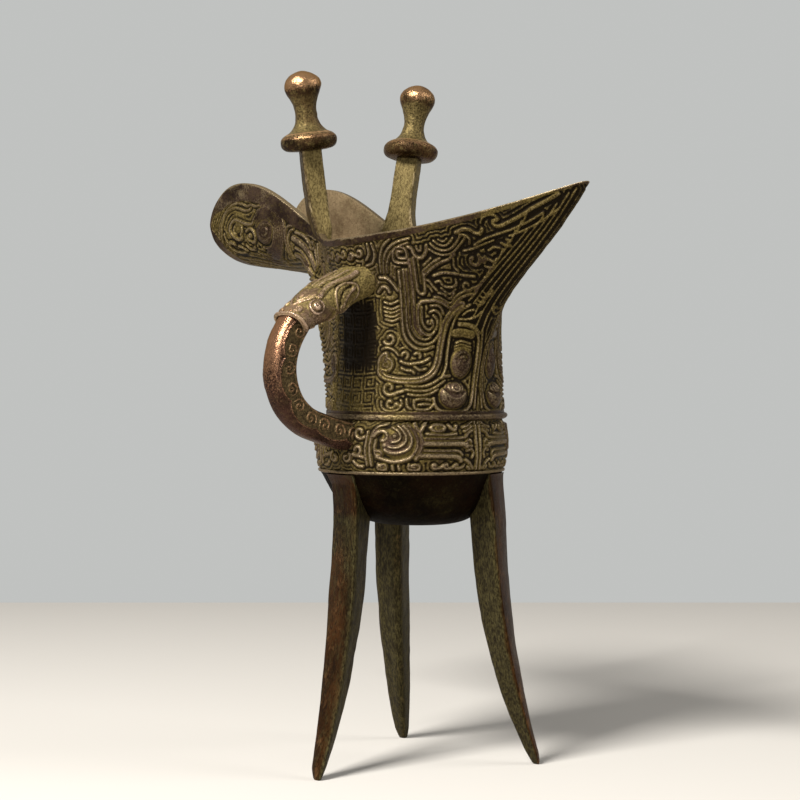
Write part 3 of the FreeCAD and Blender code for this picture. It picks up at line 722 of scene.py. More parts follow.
    # whisker lines and curls under the jaw
    thread([(16.6, 103.6), (19, 103.3), (21.8, 103.5), (24, 104.4), (26.2, 105.8), (28.4, 106.2)], 1.05)
    thread([(16.7, 102.5), (19.4, 102.2), (22.4, 102.3), (24.7, 103.3), (27, 104.9)], 0.95)
    thread([(17.3, 101.3), (20, 101), (22.8, 101.3), (25.2, 102.6)], 0.95)
    ribbon(curl((12.1, 102.9), 0.6, 1.9, -30, 330) + [(14.6, 101.8), (16, 102.2)], 0.5, 0, 1.0)
    ribbon(curl((12.6, 98.9), 0.5, 1.6, 60, 300) + [(15, 98.3)], 0.45, 0, 0.95)
    thread([(9.9, 99.4), (10.4, 97.7), (12.4, 96.7), (14.6, 97.2), (15.8, 98.6), (15.4, 99.8)], 0.95)
    thread([(17, 100), (17.2, 98.2), (18.3, 97.3)], 1.0)
    thread([(19, 99.7), (19.2, 97.8), (20.6, 97.2), (23, 97.4), (24.2, 98.6)], 1.1)
    thread([(20.2, 98.5), (21.8, 98.7), (23.2, 98.6)], 1.0)
    thread([(19.6, 99.9), (21.6, 100.1), (23.4, 99.8)], 1.0)
    # column beside the handle's root
    ribbon(curl((11.7, 116), 0.5, 1.8, 150, -300), 0.45, 0, 1.0)
    for step in range(4):
        z = 120.6 + 1.05 * step
        thread([(10.5 - 0.1 * step, z + 0.5), (12.4, z), (14.4, z + 0.7)], 0.9)
    thread([(10.4, 125.6), (12.2, 125.1), (14.3, 125.9)], 0.9)
    thread([(8.9, 128.3), (10.2, 129.6), (11.6, 129.2), (12.1, 128.1)], 1.3)
    thread([(9.7, 132), (11.6, 131.8), (13.1, 130.6), (14.4, 128.6)], 1.3)
    thread([(9.6, 113.2), (11, 113.6), (13, 112.9), (14.3, 111.6)], 0.9)


def drawUnderRim(panel):
    # scroll row under the rim and the fan of lines below it
    thread = panel.thread
    thread([(11.2, 133), (11.5, 136.4), (12.9, 139.2), (15.8, 141.2), (19.5, 142.1)], 1.0)
    thread([(12.1, 133.4), (12.4, 136), (13.7, 138.3), (16, 140), (19, 141)], 0.9)
    thread([(10.3, 133.4), (10.5, 137), (11.9, 140.2), (14, 142)], 0.9)
    thread([(16.9, 138.7), (15.7, 138.8), (15.7, 137.2), (17.9, 137.1), (18, 139), (16.8, 139.9),
            (14.9, 139.3), (14.5, 136.2), (18, 135.7)], 1.05)
    thread([(18.6, 139.9), (19.6, 139.5), (20.1, 138), (21.2, 137), (22.5, 137.4), (23.6, 138.9),
            (23.9, 140.3)], 1.35)
    thread([(21, 139.9), (21.4, 138.8), (22.1, 139), (22.3, 140)], 0.9)
    thread([(25, 140.6), (26.4, 139.3), (28.4, 138.8), (30.5, 139.4), (32.3, 140.9), (33.5, 142.4)], 1.0)
    thread([(26, 141.4), (27.2, 140.4), (28.7, 140), (30.2, 140.7), (31.4, 142)], 0.9)
    thread([(24.4, 139.2), (26.4, 138), (28.5, 137.7), (30.7, 138.3), (33, 140.2), (35, 142.2)], 0.95)
    thread([(27.3, 141.7), (28.6, 141.1), (29.8, 141.8)], 0.8)
    thread([(22, 132.5), (24.4, 134.4), (26.8, 135.7), (29.2, 136.6), (31.2, 138)], 1.2)
    thread([(22.1, 133.8), (24.6, 135.7), (27, 136.9)], 1.0)
    thread([(22.2, 135.1), (24.6, 137)], 0.9)
    # S-scrolls between the handle and the post
    for centre in (2.8, -3.2, -9.2):
        thread(curl((centre + 1.4, 138.7), 0.3, 1.3, 180, -330)
               + curl((centre - 1.6, 138.1), 0.3, 1.3, 180, -330)[::-1], 1.15)
    thread([(8.6, 141), (9.1, 138.4), (8.2, 136), (6, 135.1)], 1.0)
    thread([(7.2, 141), (7.3, 138.4), (6.2, 136.6)], 0.9)


def drawTail(panel):
    # the cheek's end and the tail, as far as the keel
    thread = panel.thread
    thread([(32.4, 143.3), (34.4, 144), (36.3, 144), (37.7, 143.1), (39, 142.9), (39.8, 144)], 1.6)
    thread([(39.7, 145.6), (40.6, 147), (42.5, 147.6), (44, 147.3), (44.8, 146.4)], 1.1)
    thread([(44.2, 146.2), (43.1, 145.9), (43.2, 145), (44.6, 144.7), (47, 145.5), (50.5, 147), (54, 148.8),
            (58, 150.5), (62, 152.3)], 1.6)
    thread([(33.4, 142.7), (34.8, 142.6), (35.9, 141.6), (35.6, 140.4)], 1.1)
    thread([(36.8, 140), (39.6, 141.4), (43, 142.5), (47, 143.6), (52, 145.4), (57, 147.8)], 1.0)
    thread([(33.6, 138.6), (36.6, 139.2), (39, 140.1), (42.4, 141.2)], 0.9)
    thread([(46.6, 142.2), (50, 143.2), (54, 144.8), (58, 146.8), (61.5, 148.9)], 0.9)
    panel.ribbon(curl((35.9, 136.3), 0.5, 1.9, 100, 300) + [(38.6, 135.6), (39, 137)], 0.5, 0, 1.0)
    thread([(38.6, 136.6), (40, 136.3), (41.4, 135.5)], 1.2)
    thread([(38.6, 134.7), (39.8, 134.3), (40.9, 134.5)], 1.1)
    thread([(40.3, 138.6), (42, 139.4), (43.6, 139.2)], 1.0)
    thread([(44.2, 140.5), (45.3, 139.8), (46.5, 139.8)], 1.3)
    thread([(45.8, 141.3), (46.9, 141)], 1.1)
    thread([(30.6, 136.6), (30.4, 134.6), (31.4, 133.4)], 0.9)
    panel.ribbon(curl((33, 129.8), 0.4, 1.5, 0, 330) + [(35, 129.3), (36.6, 129.9)], 0.42, 0, 0.95)
    for step in range(3):
        thread([(35.2 + step, 126.2 + 0.9 * step), (36.3 + step, 125.4 + 0.9 * step),
                (37.6 + step, 126.8 + 0.9 * step)], 0.95)
    thread([(34.6, 125.6), (35.6, 124.6), (37.2, 125.6)], 1.0)
    panel.ribbon(curl((40.2, 123.7), 0.4, 1.6, 40, 320), 0.42, 0, 1.0)
    # combed lines along the keel
    for step, (start, end) in enumerate(((0.00, 1.0), (0.04, 0.97), (0.10, 0.9), (0.2, 0.82), (0.3, 0.72))):
        line = []
        for share in np.linspace(start, end, 9):
            z = 118 + 35.5 * share
            line.append((keelLength(z) - 2.0 - 1.25 * step - 0.7 * step * (1 - share), z))
        thread(line, 0.85, 0.9)
    for index in range(9):
        z = 127.5 + 2.3 * index
        start = keelLength(z) - 7.8 - 0.25 * index
        thread([(start - 2.6, z - 1.6), (start - 0.6, z + 0.2), (start + 0.7, z + 2.2)], 0.85)


def drawSpout(panel):
    # the side of the spout, from its round end to the corner with the cup
    thread = panel.thread
    # two border lines under the plain rim band
    thread([(-71.8, 144.7), (-70.6, 148.8), (-69.3, 151.8), (-67.7, 154.2), (-65.6, 155.5), (-63.1, 156.1),
            (-60.2, 155.8), (-58.1, 155), (-56, 155.3), (-54.3, 154.8), (-50.2, 154.7), (-46.8, 153.8),
            (-42.7, 152), (-38.5, 149.9), (-34.3, 148), (-30.2, 145.9), (-25.2, 143.8)], 1.0)
    thread([(-70.4, 145), (-69.1, 150.2), (-68, 152.9), (-66.4, 154.2), (-64.3, 154.8), (-61.8, 154.6),
            (-59.5, 153.9), (-57.7, 153.7), (-56.2, 154.2)], 1.0)
    # hook thread: round the hollow ring, over the bridge and up round the great boss
    thread([(-60.2, 146.1), (-62, 145.6), (-64, 146.6), (-65.4, 148.2), (-65.1, 150), (-63.6, 151.3),
            (-61.4, 151), (-59.6, 150.4), (-58.2, 150), (-56.4, 149.7), (-54.8, 149.9), (-54.4, 151),
            (-53.4, 152), (-51.6, 152.5), (-49.4, 152.2), (-47.4, 151.2)], 1.6)
    thread([(-62.6, 150.1), (-60.4, 149.6), (-59.8, 148), (-60.6, 146.9)], 1.1)
    thread([(-63.2, 149.6), (-63.6, 148), (-62.8, 147)], 1.0)
    panel.boss((-61.7, 148.5), 1.3, 1.3, 0.4)
    # middle curl and the ones under it
    thread([(-57.9, 147.8), (-56.4, 148.5), (-54.7, 147.9), (-53.7, 146.3), (-54.2, 144.8),
            (-55.8, 144.4)], 1.3)
    thread([(-57.6, 146.4), (-57.4, 145.2), (-56.4, 144.9)], 1.1)
    panel.boss((-56.2, 146.4), 1.0, 0.9, 0.7)
    thread([(-59.4, 143.9), (-58.6, 142.8), (-56.8, 142.5), (-55.5, 143.3)], 1.2)
    thread([(-67.2, 144.8), (-66, 145), (-64.8, 144.4)], 1.6)
    thread([(-68.4, 147.6), (-68.2, 145.8), (-67.4, 143.4), (-65, 142.2), (-62, 142)], 1.0)
    thread([(-63.4, 143.8), (-62, 143.4), (-60.6, 142.4)], 1.1)
    # great boss with its eye, nested lines round it
    panel.boss((-49.3, 147.2), 3.9, 3.7, 1.25)
    panel.carveLine(curl((-48.4, 147.2), 1.7, 1.7, 0, 360), 1.0, 0.4)
    panel.carveLine(curl((-48.5, 147.3), 0.6, 0.6, 0, 360), 0.9, 0.3)
    for step in range(6):
        r = 4.6 + 0.95 * step
        start, end = 150 - 7 * step, -118 + 4 * step
        thread([(-49.2 + r * 0.98 * math.cos(a), 146.9 + (0.93 - 0.03 * step) * r * math.sin(a))
                for a in np.radians(np.arange(start, end, -22))], 1.0, 1.1)
    for step in range(4):
        thread([(-55.4 + 0.9 * step, 141.8 - 0.9 * step), (-52.4, 140.9 - 0.85 * step),
                (-49, 140.4 - 0.85 * step), (-45.6, 141 - 0.9 * step)], 0.95)
    # the frame that closes the motif towards the cup
    thread([(-39.2, 139.4), (-39.4, 143), (-39.6, 146.4), (-39, 148), (-37.6, 148.4), (-36, 148.3)], 1.3)
    thread([(-38.2, 139.2), (-38.3, 143), (-38.2, 145.6), (-37.4, 147), (-36.2, 147.2)], 1.0)
    # leaf streaks that run down to the corner with the cup
    thread([(-36, 144.8), (-33.5, 143.6), (-31, 142.1), (-28.9, 140.4), (-27.2, 138.3),
            (-25.4, 135.8)], 2.6, 1.15)
    thread([(-36.2, 140), (-33, 139.4), (-30.3, 137.4), (-28.2, 135.6), (-26.6, 134.2)], 2.2, 1.1)
    thread([(-35.2, 142), (-32.4, 140.9), (-30, 138.9), (-28.2, 136.9)], 1.2)
    thread([(-35, 146.4), (-32.4, 145.6), (-30.4, 144.6), (-29.2, 143.2)], 1.5)
    panel.ribbon(curl((-27.4, 142.6), 0.5, 1.5, 0, 330), 0.45, 0, 1.0)
    thread([(-29.6, 145.2), (-27.8, 145), (-26.2, 144)], 1.1)
    thread([(-25.9, 141.2), (-25, 139), (-24.4, 136.4)], 1.1)
    thread([(-24.2, 142.6), (-23.6, 139.6), (-23.2, 136.8)], 1.0)
    # lines along the round underside
    for step in range(3):
        thread([(-68 + 3 * step, 140.9 - 1.1 * step), (-60, 139.7 - 1.05 * step), (-52, 138 - 1.05 * step),
                (-44, 137.2 - 1.0 * step), (-36, 137 - 0.9 * step)], 0.85, 0.85)


# the unrolled wall: how far round it lies any angle at any height, from the plane of the handle
lengthHeights = np.arange(waistZ, crestZ + 1, carving["tableStep"])
lengthAngles = np.linspace(-np.pi, 0, carving["tableAngles"])
lengthPoints = onWall(lengthAngles[None, :], lengthHeights[:, None], 0.0)
lengthSteps = np.hypot(np.diff(lengthPoints[..., 0], axis=1), np.diff(lengthPoints[..., 1], axis=1))
lengthTable = np.hstack([np.zeros((len(lengthHeights), 1)), np.cumsum(lengthSteps, axis=1)])
lengthTable -= np.array([np.interp(-np.pi / 2, lengthAngles, row) for row in lengthTable])[:, None]


def roundLength(angle, z):
    return between(lengthTable, (angle + np.pi) / (lengthAngles[1] - lengthAngles[0]),
                   (z - lengthHeights[0]) / (lengthHeights[1] - lengthHeights[0]))


def keelLength(z):
    return float(roundLength(np.array(0.0), np.array(float(z))))


wallPanel = Panel(carving["left"], carving["right"], carving["low"], carving["high"], carving["step"])
drawDragon(wallPanel, 1)
drawDragon(wallPanel, -1)
drawUnderRim(wallPanel)
drawTail(wallPanel)
drawSpout(wallPanel)
# square spirals under the handle, lines that follow the strokes everywhere else
underHandle = smoothStep(8.4, 7.6, np.abs(wallPanel.length)) * smoothStep(131, 129.5, wallPanel.height)
wallPanel.leiwen(underHandle, carving["leiwenCell"], carving["leiwenLine"], carving["leiwenRise"])
wallPanel.echo(1 - underHandle, carving["echoPitch"], carving["echoRise"])
wallRise = blurred(wallPanel.rise, 1)
wallCrest = crests(wallRise, carving["crestReach"], carving["crestGain"])
print("wall relief drawn")


# The cup's wall is four closed quarters, carved outside and plain inside. Where a value is a pair, a change
# starts at the first number and is complete at the second; the numbers are x, height or distance in mm.
wallPieces = dict(
    tailColumns=285, spoutColumns=325, rows=236, innerRows=46,
    rimBand=2.0, spoutBand=5.2, spoutBandFrom=(-14, -38), bandEdge=0.15, bandRise=1.05, bandTone=0.5,
    tailBandLoss=0.45, tailBandFrom=(40, 62), endBandLoss=0.5, endBandFrom=(-66, -72), footBand=(2.2, 1.7),
    fullTone=0.75, lipWear=1.2, lipWearFrom=(0.75, 0.1),
    bandWear=0.3, bandPatches=0.5, bandWearFrom=(-30, -50),
    tailDark=0.30, tailDarkFrom=(12, 34), tailDarkHeight=(100, 122),
    shadeDark=1.2, shadeX=1.5, shadeFrom=(7.0, 3.0), shadeLow=(106, 114), shadeHigh=(127, 121),
    dust=0.15, dustX=-2, dustFrom=(8, 4), dustHeight=(108, 99),
    wearShare=0.85, wearLoss=1.6, mostWearLoss=0.75, lumps=0.16, grains=0.05, seamFade=(0, 1.2),
    innerTone=0.75, innerLumps=0.12, innerEdgeWear=0.8, lipRound=0.4, lipShare=0.22)


def wallPiece(name, part, mirror):
    look = wallPieces
    count = look[part + "Columns"]
    angle, z = wallSheet(rimRun(part, 0.0, count), 0.0, look["rows"])
    outer = onWall(angle, z, 0.0)
    length = roundLength(angle, z)
    # outward direction of the smooth wall, kept in the middle plane where two quarters meet
    normal = unit(np.cross(np.gradient(outer, axis=1), np.gradient(outer, axis=0)))
    radial = np.stack([np.cos(angle), np.sin(angle), 0 * angle], -1)
    if (normal * radial).sum() < 0:
        normal = -normal
    inPlane = (angle == 0) | (angle == -np.pi)
    normal[..., 1] = np.where(inPlane, 0, normal[..., 1])
    # plain bands: under the rim, wider along the spout and narrower at both ends, and just over the waist
    fromRim = np.linalg.norm(outer[:, -1:, :] - outer, axis=-1)
    rimX = outer[:, -1:, 0]
    band = look["rimBand"] + (look["spoutBand"] - look["rimBand"]) * smoothStep(*look["spoutBandFrom"], rimX)
    if part == "tail":
        band = band * (1 - look["tailBandLoss"] * smoothStep(*look["tailBandFrom"], rimX))
    else:
        band = band * (1 - look["endBandLoss"] * smoothStep(*look["endBandFrom"], outer[..., 0]))
    plain = smoothStep(band + look["bandEdge"], band - look["bandEdge"], fromRim)
    plain = np.maximum(plain, smoothStep(*look["footBand"], z - waistZ))
    rise = wallPanel.sample(wallRise, length, z) * (1 - plain) + carving["sink"] * plain * look["bandRise"]
    crest = wallPanel.sample(wallCrest, length, z) * (1 - plain)
    relief = np.clip(rise / look["fullTone"] + look["bandTone"] * plain, 0, 1)
    lip = smoothStep(*look["lipWearFrom"], fromRim + 0.25 * valueNoise(outer, 1.3, 21))
    wear = np.maximum(crest, look["lipWear"] * lip)
    if part == "spout":
        patches = look["bandWear"] + look["bandPatches"] * valueNoise(outer, 2.6, 22)
        wear = np.maximum(wear, plain * smoothStep(*look["bandWearFrom"], rimX) * patches)
    # darker towards the end of the tail, a painted shadow of the head on the near wall under it, more dust
    # low down beside the handle
    x, height = outer[..., 0], outer[..., 2]
    dark = look["tailDark"] * smoothStep(*look["tailDarkFrom"], x)
    dark = dark * smoothStep(*look["tailDarkHeight"], height)
    dust = smoothStep(*look["dustFrom"], np.abs(x - look["dustX"])) * smoothStep(*look["dustHeight"], height)
    # painted shadow of the head, on the near side only
    if not mirror:
        shade = look["shadeDark"] * smoothStep(*look["shadeFrom"], np.abs(x - look["shadeX"]))
        dark = dark + shade * smoothStep(*look["shadeLow"], height) * smoothStep(*look["shadeHigh"], height)
    relief = np.clip(relief - dark + look["dust"] * dust, 0, 1)
    # less wear where it is darker, so no rubbed metal shows in the painted shadow
    wearLoss = np.clip(look["wearLoss"] * dark, 0, look["mostWearLoss"])
    wear = np.where(lip > 0, wear, wear * (look["wearShare"] - wearLoss))
    uneven = look["lumps"] * valueNoise(outer, 7.0, 3) + look["grains"] * valueNoise(outer, 1.7, 4)
    fade = smoothStep(*look["seamFade"], np.abs(outer[..., 1]))
    outer = outer + normal * (rise - carving["sink"] + uneven * fade)[..., None]
    # the inner wall, from the rim down
    angle, z = wallSheet(rimRun(part, cup["wall"], count), cup["wall"], look["innerRows"])
    inner = onWall(angle, z, cup["wall"])[:, ::-1]
    radial = np.stack([np.cos(angle), np.sin(angle), 0 * angle], -1)[:, ::-1]
    fade = smoothStep(*look["seamFade"], np.abs(inner[..., 1]))
    inner = inner + radial * (look["innerLumps"] * valueNoise(inner, 6.0, 9) * fade)[..., None]
    ring = np.concatenate([outer, inner], axis=1)
    relief = np.concatenate([relief, np.full(inner.shape[:2], look["innerTone"])], axis=1)
    wear = np.concatenate([wear, np.zeros(inner.shape[:2])], axis=1)
    # soften the two edges of the lip
    top, first = look["rows"] - 1, look["rows"]
    wear[:, first] = look["innerEdgeWear"]
    across = ring[:, first] - ring[:, top]
    width = np.linalg.norm(across, axis=-1, keepdims=True)
    ring[:, top] += across * np.minimum(look["lipShare"], look["lipRound"] / width)
    ring[:, first] -= across * np.minimum(look["lipShare"], look["lipRound"] / width)
    if mirror:
        ring = ring * np.array([1, -1, 1])
    points, faces = tube(ring)
    if (part == "tail") == mirror:
        faces = turnedOver(faces)
    isInner = np.append(np.arange(len(faces[0])) % ring.shape[1] >= first, [False, False])
    makeObject(name, points, faces, [bodyBronze, innerBronze], "vessel_body", "body_bronze", 60, isInner,
               relief=relief, wear=wear)


wallPiece("wall_tail_handle_side", "tail", False)
wallPiece("wall_tail_far_side", "tail", True)
wallPiece("wall_spout_handle_side", "spout", False)
wallPiece("wall_spout_far_side", "spout", True)
print("cup wall made")


# the bowl: round bottom, carved lower band, the bead round the waist and the floor inside
bowl = dict(
    panel=(-2.0, 40.0, 78.0, 98.0, 0.1), columns=640, bandRows=64, bandEdge=0.6, belly=1.4, bellyShape=0.7,
    beadBulge=0.85, beadHeight=1.7, beadPlace=0.45, beadRound=0.8, innerStep=0.15, bossRise=0.7, floor=2.0,
    undercut=0.7, undercutFrom=(93.0, 93.6), asideX=-0.9, asideY=-1.0, asideFrom=(12, 22), widen=0.6,
    widenFrom=(10, 20), echoPitch=0.95, echoRise=0.34, lumps=0.16, grains=0.06, lumpsFrom=(0, 6),
    fullTone=0.62, plainTone=0.85, poleTone=0.7, beadWear=0.42, baseWear=0.7)


def underside():
    # outside of the round bottom, from the axis out to the band
    return flowing([(0.0, 65.2), (7.0, 65.4), (11.5, 65.9), (14.8, 67.1), (17.8, 69.5), (20.6, 73.0),
                    (22.7, 76.6), (23.9, 79.0), (24.5, 79.9)], 0.6)


def domeReach(z):
    line = underside()
    return np.interp(z, line[:, 1], line[:, 0])


def drawBand(panel):
    # one quarter of the band: handle plane at 0, keel plane at 38
    thread = panel.thread
    # eye: nested lines that open towards the handle
    panel.boss((16.4, 88.6), 4.6, 4.4, bowl["bossRise"])
    thread([(18.6, 93.6), (20.2, 92), (21.2, 89.9), (21.3, 87.7), (20.2, 85.3), (18.3, 84.1), (15.2, 83.6),
            (12, 84.5), (11.4, 85.2)], 1.5, 1.1)
    thread([(17.6, 93.4), (19.1, 91.6), (19.9, 89.4), (19.4, 87.4), (17.6, 86.2), (15, 85.9),
            (13.2, 86.7)], 1.3, 1.6)
    thread([(16.4, 93.2), (17.9, 91.6), (18.6, 89.7), (17.9, 88.2), (16.2, 87.3), (14.2, 87.5)], 1.2, 1.9)
    thread([(15.2, 92.6), (16.5, 91.8), (17.2, 90.3), (16.6, 89.1), (15, 88.7)], 1.1, 2.0)
    panel.boss((15.8, 90.4), 0.7, 0.7, 1.5)
    thread([(10.4, 90.4), (11.4, 91.4), (13, 91.6), (13.8, 90.6), (13.4, 89.3), (12.4, 89.2)], 1.5, 1.3)
    panel.boss((13.2, 87.9), 0.9, 0.9, 0.9)
    thread([(11, 84.6), (10.5, 87), (10.8, 89.2)], 1.1)
    thread([(9.6, 82.6), (9.2, 87), (9.8, 90.8), (11.6, 92.9), (13.6, 93.6)], 1.2)
    thread([(8.4, 82.6), (8, 87), (8.6, 91.4)], 1.0)
    thread([(11.2, 86.4), (12.3, 86.1), (12.4, 85.3)], 1.1)
    # fork
    thread([(20.4, 93.8), (21.1, 92.4), (21.9, 91.5), (22.6, 92.4), (23.2, 93.8)], 1.4)
    thread([(22, 91.2), (22.5, 88.8), (22, 86.4), (20.9, 84.3)], 1.5)
    # bars
    thread([(24.6, 92.4), (25.6, 93.3), (27.4, 93.3), (28.4, 92.5), (27.4, 91.7), (25.6, 91.7),
            (24.6, 92.4)], 1.2)
    panel.boss((26.5, 92.5), 0.9, 0.5, 0.6)
    thread([(29.4, 93.4), (30.2, 92.2), (31.2, 91.9), (31.6, 93.2)], 1.2)
    thread([(23.6, 90.9), (28, 90.6), (31.6, 90.9)], 1.0)
    panel.ribbon([(23.4, 89.7), (29, 89.6), (33.4, 89.8), (34.6, 90.4)], 0.4, 0, 0.95)
    panel.ribbon([(23.1, 88.4), (29, 88.3), (33.2, 88.2), (34.2, 87.6)], 0.66, 0, 1.2)
    panel.ribbon([(22.9, 86.5), (28, 86.4), (31.8, 86.3), (33, 85.2)], 0.36, 0, 0.95)
    panel.ribbon([(22.2, 85.2), (28, 85.1), (31.4, 84.8), (32.6, 83.8)], 0.62, 0, 1.15)
    # small marks along the base
    for x, wide in ((20.4, 2.4), (12.4, 2.0)):
        thread([(x - wide / 2, 83), (x - wide / 2, 81.6), (x + wide / 2, 81.5), (x + wide / 2, 82.7),
                (x - wide / 4, 82.7), (x - wide / 4, 82.2), (x + wide / 5, 82.1)], 0.9)
    for x in (25.6, 28.6, 31.4):
        thread(curl((x, 82.5), 0.25, 0.85, 0, 300) + [(x + 1.6, 82), (x + 2.2, 82.7)], 1.0)
    thread([(15, 82.6), (15.2, 81.4)], 1.0)
    thread([(16.6, 82.6), (16.8, 81.4)], 1.0)
    # feathers beside the keel line
    thread([(37.4, 94), (37.3, 90), (37.4, 86), (37.4, 81.4)], 1.2)
    for step in range(3):
        thread([(33.4 + 0.5 * step, 92.6 - 1.1 * step), (34.8, 93 - 1.0 * step),
                (36.4, 94 - 1.1 * step)], 1.1)
    panel.ribbon(curl((35.3, 88.6), 0.4, 1.2, 0, 300), 0.4, 0, 1.0)
    thread([(34.4, 86.4), (35.6, 86.8), (36.3, 85.8), (35.8, 84.6)], 1.1)
    thread([(33.8, 84), (35, 83.2), (36.4, 81.6)], 1.2)
    thread([(34.6, 82.2), (35.4, 81.4)], 1.0)
    # tangle under the handle's root
    panel.ribbon(curl((6.2, 91.2), 0.5, 1.8, 0, 320), 0.45, 0, 1.0)
    panel.ribbon(curl((5.4, 86.6), 0.5, 1.7, 180, -320) + [(7.4, 84.6)], 0.45, 0, 1.0)
    panel.ribbon(curl((2.2, 84.6), 0.4, 1.5, 90, 320), 0.45, 0, 1.1)
    thread([(4.4, 83.6), (5.6, 82.4), (7.2, 82.2)], 1.2)
    thread([(1.6, 93.4), (2.4, 90), (1.8, 87.4)], 1.0)
    thread([(3.4, 93.6), (3.8, 89.4)], 0.9)


bandPanel = Panel(*bowl["panel"])
drawBand(bandPanel)
bandPanel.echo(1.0, bowl["echoPitch"], bowl["echoRise"])
bandRise = blurred(bandPanel.rise, 1)
bandCrest = crests(bandRise, carving["crestReach"], carving["crestGain"])


def bowlProfile():
    # (reach, height) from the bottom's pole round the rim to the floor's pole, in its five parts
    base = cup["legHeight"]
    middle = waistZ + bowl["beadPlace"]
    top, low = middle + bowl["beadHeight"] / 2, middle - bowl["beadHeight"] / 2
    edgeReach = cup["radius"] + bowl["bandEdge"]
    dome = underside()
    way = unit(np.gradient(dome, axis=0))
    floor = dome + bowl["floor"] * np.stack([-way[:, 1], way[:, 0]], 1)
    floor = floor[(floor[:, 0] > 0.2) & (floor[:, 1] < base)][::-1]
    baseLine = [[edgeReach + out, base + up] for out, up in ((0.25, 0.15), (0.4, 0.45), (0.25, 0.75))]
    bandZ = np.linspace(base + 0.9, low - 0.1, bowl["bandRows"])
    share = (bandZ - bandZ[0]) / (bandZ[-1] - bandZ[0])
    swell = np.sin(np.pi * np.clip(share, 0, 1) ** bowl["bellyShape"])
    bandReach = edgeReach + (bowl["belly"] - bowl["bandEdge"]) * swell
    bandReach -= bowl["undercut"] * smoothStep(*bowl["undercutFrom"], bandZ)
    turn = np.linspace(-math.pi / 2, math.pi / 2, 11)[1:-1]
    beadReach = cup["radius"] + bowl["beadBulge"] - bowl["beadRound"] * (1 - np.cos(turn))
    bead = np.stack([beadReach, middle + bowl["beadHeight"] / 2 * np.sin(turn)], 1)
    bead = np.vstack([[edgeReach - bowl["undercut"], low], bead,
                      [cup["radius"] - 0.4, top], [cup["radius"] - 0.9, top]])
    innerReach = cup["radius"] - cup["wall"] - bowl["innerStep"]
    straight = np.stack([np.full(8, innerReach), np.linspace(top - 1.5, base + 2, 8)], 1)
    inner = np.vstack([[innerReach + 0.9, top], [innerReach, top - 0.6], straight, floor,
                       [0.1, floor[-1, 1]]])
    return dome, baseLine, np.stack([bandReach, bandZ], 1), bead, inner, top, low


def makeBowl():
    dome, baseLine, band, bead, inner, top, low = bowlProfile()
    profile = np.vstack([dome, baseLine, band, bead, inner])[1:-1]
    bandStart = len(dome) + len(baseLine) - 1
    bandEnd = bandStart + len(band)
    innerStart = bandEnd + len(bead)
    angle = np.linspace(-np.pi, np.pi, bowl["columns"], endpoint=False)
    # the band's drawing is one quarter, mirrored in the plane of the handle and across it
    length = cup["radius"] * np.abs((angle + np.pi / 2 + np.pi) % (2 * np.pi) - np.pi)
    length = np.minimum(length, cup["radius"] * np.pi - length)
    reach = np.repeat(profile[:, :1], len(angle), 1)
    height = np.repeat(profile[:, 1:], len(angle), 1)
    length = np.broadcast_to(length, reach.shape)
    inBand = np.zeros(reach.shape)
    inBand[bandStart:bandEnd] = 1
    rise = bandPanel.sample(bandRise, length, height) * inBand
    wear = bandPanel.sample(bandCrest, length, height) * inBand
    points = np.stack([reach * np.cos(angle), reach * np.sin(angle), height], -1)
    uneven = bowl["lumps"] * valueNoise(points, 6.0, 11) + bowl["grains"] * valueNoise(points, 1.6, 12)
    push = inBand * (rise - carving["sink"]) + uneven * smoothStep(*bowl["lumpsFrom"], reach)
    # under the bead the outside is a little wider, and stands a little aside
    lower = smoothStep(top - 0.6, low - 1.2, height) * (np.arange(len(height)) < innerStart)[:, None]
    push = push + bowl["widen"] * lower * smoothStep(*bowl["widenFrom"], reach)
    points[..., :2] *= ((reach + push) / reach)[..., None]
    points[..., 0] += bowl["asideX"] * lower * smoothStep(*bowl["asideFrom"], reach)
    points[..., 1] += bowl["asideY"] * lower * smoothStep(*bowl["asideFrom"], reach)
    relief = np.where(inBand > 0, np.clip(rise / bowl["fullTone"], 0, 1), bowl["plainTone"])
    wear[bandEnd + 2:bandEnd + 9] = bowl["beadWear"]
    wear[bandStart - 3:bandStart] = bowl["baseWear"]
    # quads between the rows, and a fan of triangles round each of the two poles
    around, flat = len(angle), points.reshape(-1, 3)
    lowPole, highPole = len(flat), len(flat) + 1
    last = len(flat) - around
    quads = gridQuads(len(points), around, closed=True)
    fans = [[lowPole, (i + 1) % around, i] for i in range(around)]
    fans += [[highPole, last + i, last + (i + 1) % around] for i in range(around)]
    row = np.arange(len(quads)) // around
    # the round bottom takes the almost black finish, painted shade
    which = np.where(row >= innerStart, 1, np.where(row < len(dome) - 2, 2, 0))
    which = np.concatenate([which, np.full(around, 2), np.full(around, 1)])
    poles = [[0, 0, dome[0, 1]], [0, 0, inner[-1, 1]]]
    makeObject("bowl", np.vstack([flat, poles]), (quads, fans), [bodyBronze, innerBronze, underShadeBronze],
               "vessel_body", "body_bronze", 75, which,
               relief=np.append(relief, [bowl["poleTone"]] * 2), wear=np.append(wear, [0, 0]))


makeBowl()
print("bowl made")


